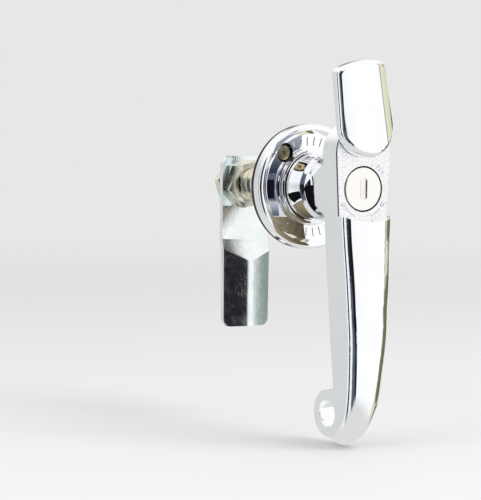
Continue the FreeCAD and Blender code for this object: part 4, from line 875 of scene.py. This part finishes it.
# %% Zinc of the screws
tree, shader = finish("screw_zinc", (0.70, 0.59, 0.38), 0.4)
add_cloud(tree, shader, scale=900.0, light=(0.78, 0.66, 0.43), deep=(0.36, 0.30, 0.18))
add_haze(tree, shader, scale=800.0, clean=0.30, hazy=0.50)
grit = effect(tree, "mould_grit", -500, -300, Scale=1800.0)
add_relief(tree, shader, grit.outputs["Height"], depth_mm=0.03)
print("zinc is dressed on", len(made["screw_zinc"]), "screws")

# %% Zinc of spindle and nuts
for slot, light, deep in (("spindle_zinc", (0.88, 0.83, 0.68), (0.62, 0.57, 0.44)),
                          ("nut_zinc", (0.90, 0.87, 0.76), (0.66, 0.63, 0.52))):
    tree, shader = finish(slot, light, 0.25)
    add_cloud(tree, shader, scale=220.0, light=light, deep=deep)
    add_haze(tree, shader, scale=260.0, clean=0.16, hazy=0.34)
    rings = effect(tree, "turned_rings", -500, -300, Density=5000.0)
    add_relief(tree, shader, rings.outputs["Height"], depth_mm=0.012)
    print(slot, "with turned rings")

# %% [markdown]
# ## Rolled sheet of the cam
#
# The cam is stamped from bright sheet with a cool, almost blue zinc. Rolling leaves long fine lines, and the
# plating has a few specks. Both are relief and not tone, so they show only where the light grazes them.

# %% Rolled sheet of the cam
SPECK_DEPTH = 0.02 * MM
tree, shader = finish("cam_zinc", (0.90, 0.95, 0.95), 0.2)
add_cloud(tree, shader, scale=90.0, light=(0.96, 0.98, 0.97), deep=(0.80, 0.87, 0.88))
add_haze(tree, shader, scale=240.0, clean=0.08, hazy=0.20)
lines = effect(tree, "rolled_lines", -700, -300)
relief = add_relief(tree, shader, lines.outputs["Height"], depth_mm=0.02)
speck_bump = put(tree, "ShaderNodeBump", -450, -500)
speck_bump.inputs["Distance"].default_value = SPECK_DEPTH
tree.links.new(lines.outputs["Speck"], speck_bump.inputs["Height"])
tree.links.new(speck_bump.outputs[0], relief.inputs["Normal"])
print("cam: lines over specks")

# %% [markdown]
# ## Satin metals of the lock
#
# The front of the plug is brushed nickel, so matt that it shows the softbox as one even tone. The sleeve
# round it has a near-black tone, painted shade that deepens the real shade of its gap into the thin dark
# ring round the plug. Pins and washers are plain turned steel. One loop makes them all, because they
# differ only in tone and haze.

# %% Satin metals of the lock
for slot, light, deep, clean, hazy in (
        ("plug_nickel", (0.98, 0.97, 0.94), (0.96, 0.945, 0.905), 0.20, 0.26),
        ("shutter_steel", (0.96, 0.94, 0.88), (0.88, 0.85, 0.78), 0.26, 0.36),
        # sleeve: near-black painted shade for the dark ring round the plug, over the real shade of its gap
        ("sleeve_dark", (0.09, 0.075, 0.065), (0.05, 0.04, 0.035), 0.25, 0.40),
        ("pin_steel", (0.62, 0.62, 0.63), (0.48, 0.48, 0.50), 0.18, 0.30),
        ("washer_steel", (0.66, 0.66, 0.66), (0.50, 0.50, 0.51), 0.25, 0.40)):
    tree, shader = finish(slot, light, clean)
    add_cloud(tree, shader, scale=240.0, light=light, deep=deep)
    add_haze(tree, shader, scale=300.0, clean=clean, hazy=hazy)
    rings = effect(tree, "turned_rings", -500, -300, Density=6000.0)
    add_relief(tree, shader, rings.outputs["Height"], depth_mm=0.006)
    print(slot, "from", clean, "to", hazy)

# %% [markdown]
# ## Pieces inside
#
# Wafers are stamped from brass, springs and clips are blued steel, and driver and bolt are raw zinc
# castings. Nobody polishes them, so all three have a fine grit, coarser on the castings.

# %% Stamped, sprung and cast pieces inside
for slot, light, deep, clean, hazy, scale in (
        ("wafer_brass", (0.78, 0.63, 0.32), (0.56, 0.42, 0.18), 0.22, 0.38, 500.0),
        ("spring_steel", (0.46, 0.46, 0.48), (0.26, 0.26, 0.28), 0.22, 0.36, 700.0),
        ("inner_zinc", (0.66, 0.67, 0.69), (0.48, 0.49, 0.51), 0.34, 0.52, 300.0)):
    tree, shader = finish(slot, light, clean)
    add_cloud(tree, shader, scale=scale, light=light, deep=deep)
    add_haze(tree, shader, scale=scale, clean=clean, hazy=hazy)
    grit = effect(tree, "mould_grit", -500, -300, Scale=2 * scale)
    add_relief(tree, shader, grit.outputs["Height"], depth_mm=0.02)
    print(slot, "with grit of scale", 2 * scale)

# %% [markdown]
# ## Rubber and plastic
#
# The gasket is soft black rubber and the bush is dark plastic. They are the only pieces that aren't metal,
# so their tone is low and their surface is rough all over, to stay apart from the chrome.

# %% Rubber and plastic
for slot, light, deep, grain, depth in (
        ("gasket_rubber", (0.012, 0.012, 0.013), (0.006, 0.006, 0.007), 1500.0, 0.05),
        ("bush_plastic", (0.06, 0.06, 0.062), (0.04, 0.04, 0.042), 900.0, 0.02)):
    tree, shader = finish(slot, light, 0.6, metallic=0.0)
    add_cloud(tree, shader, scale=300.0, light=light, deep=deep)
    add_haze(tree, shader, scale=300.0, clean=0.55, hazy=0.75)
    grit = effect(tree, "mould_grit", -500, -300, Scale=grain)
    add_relief(tree, shader, grit.outputs["Height"], depth_mm=depth)
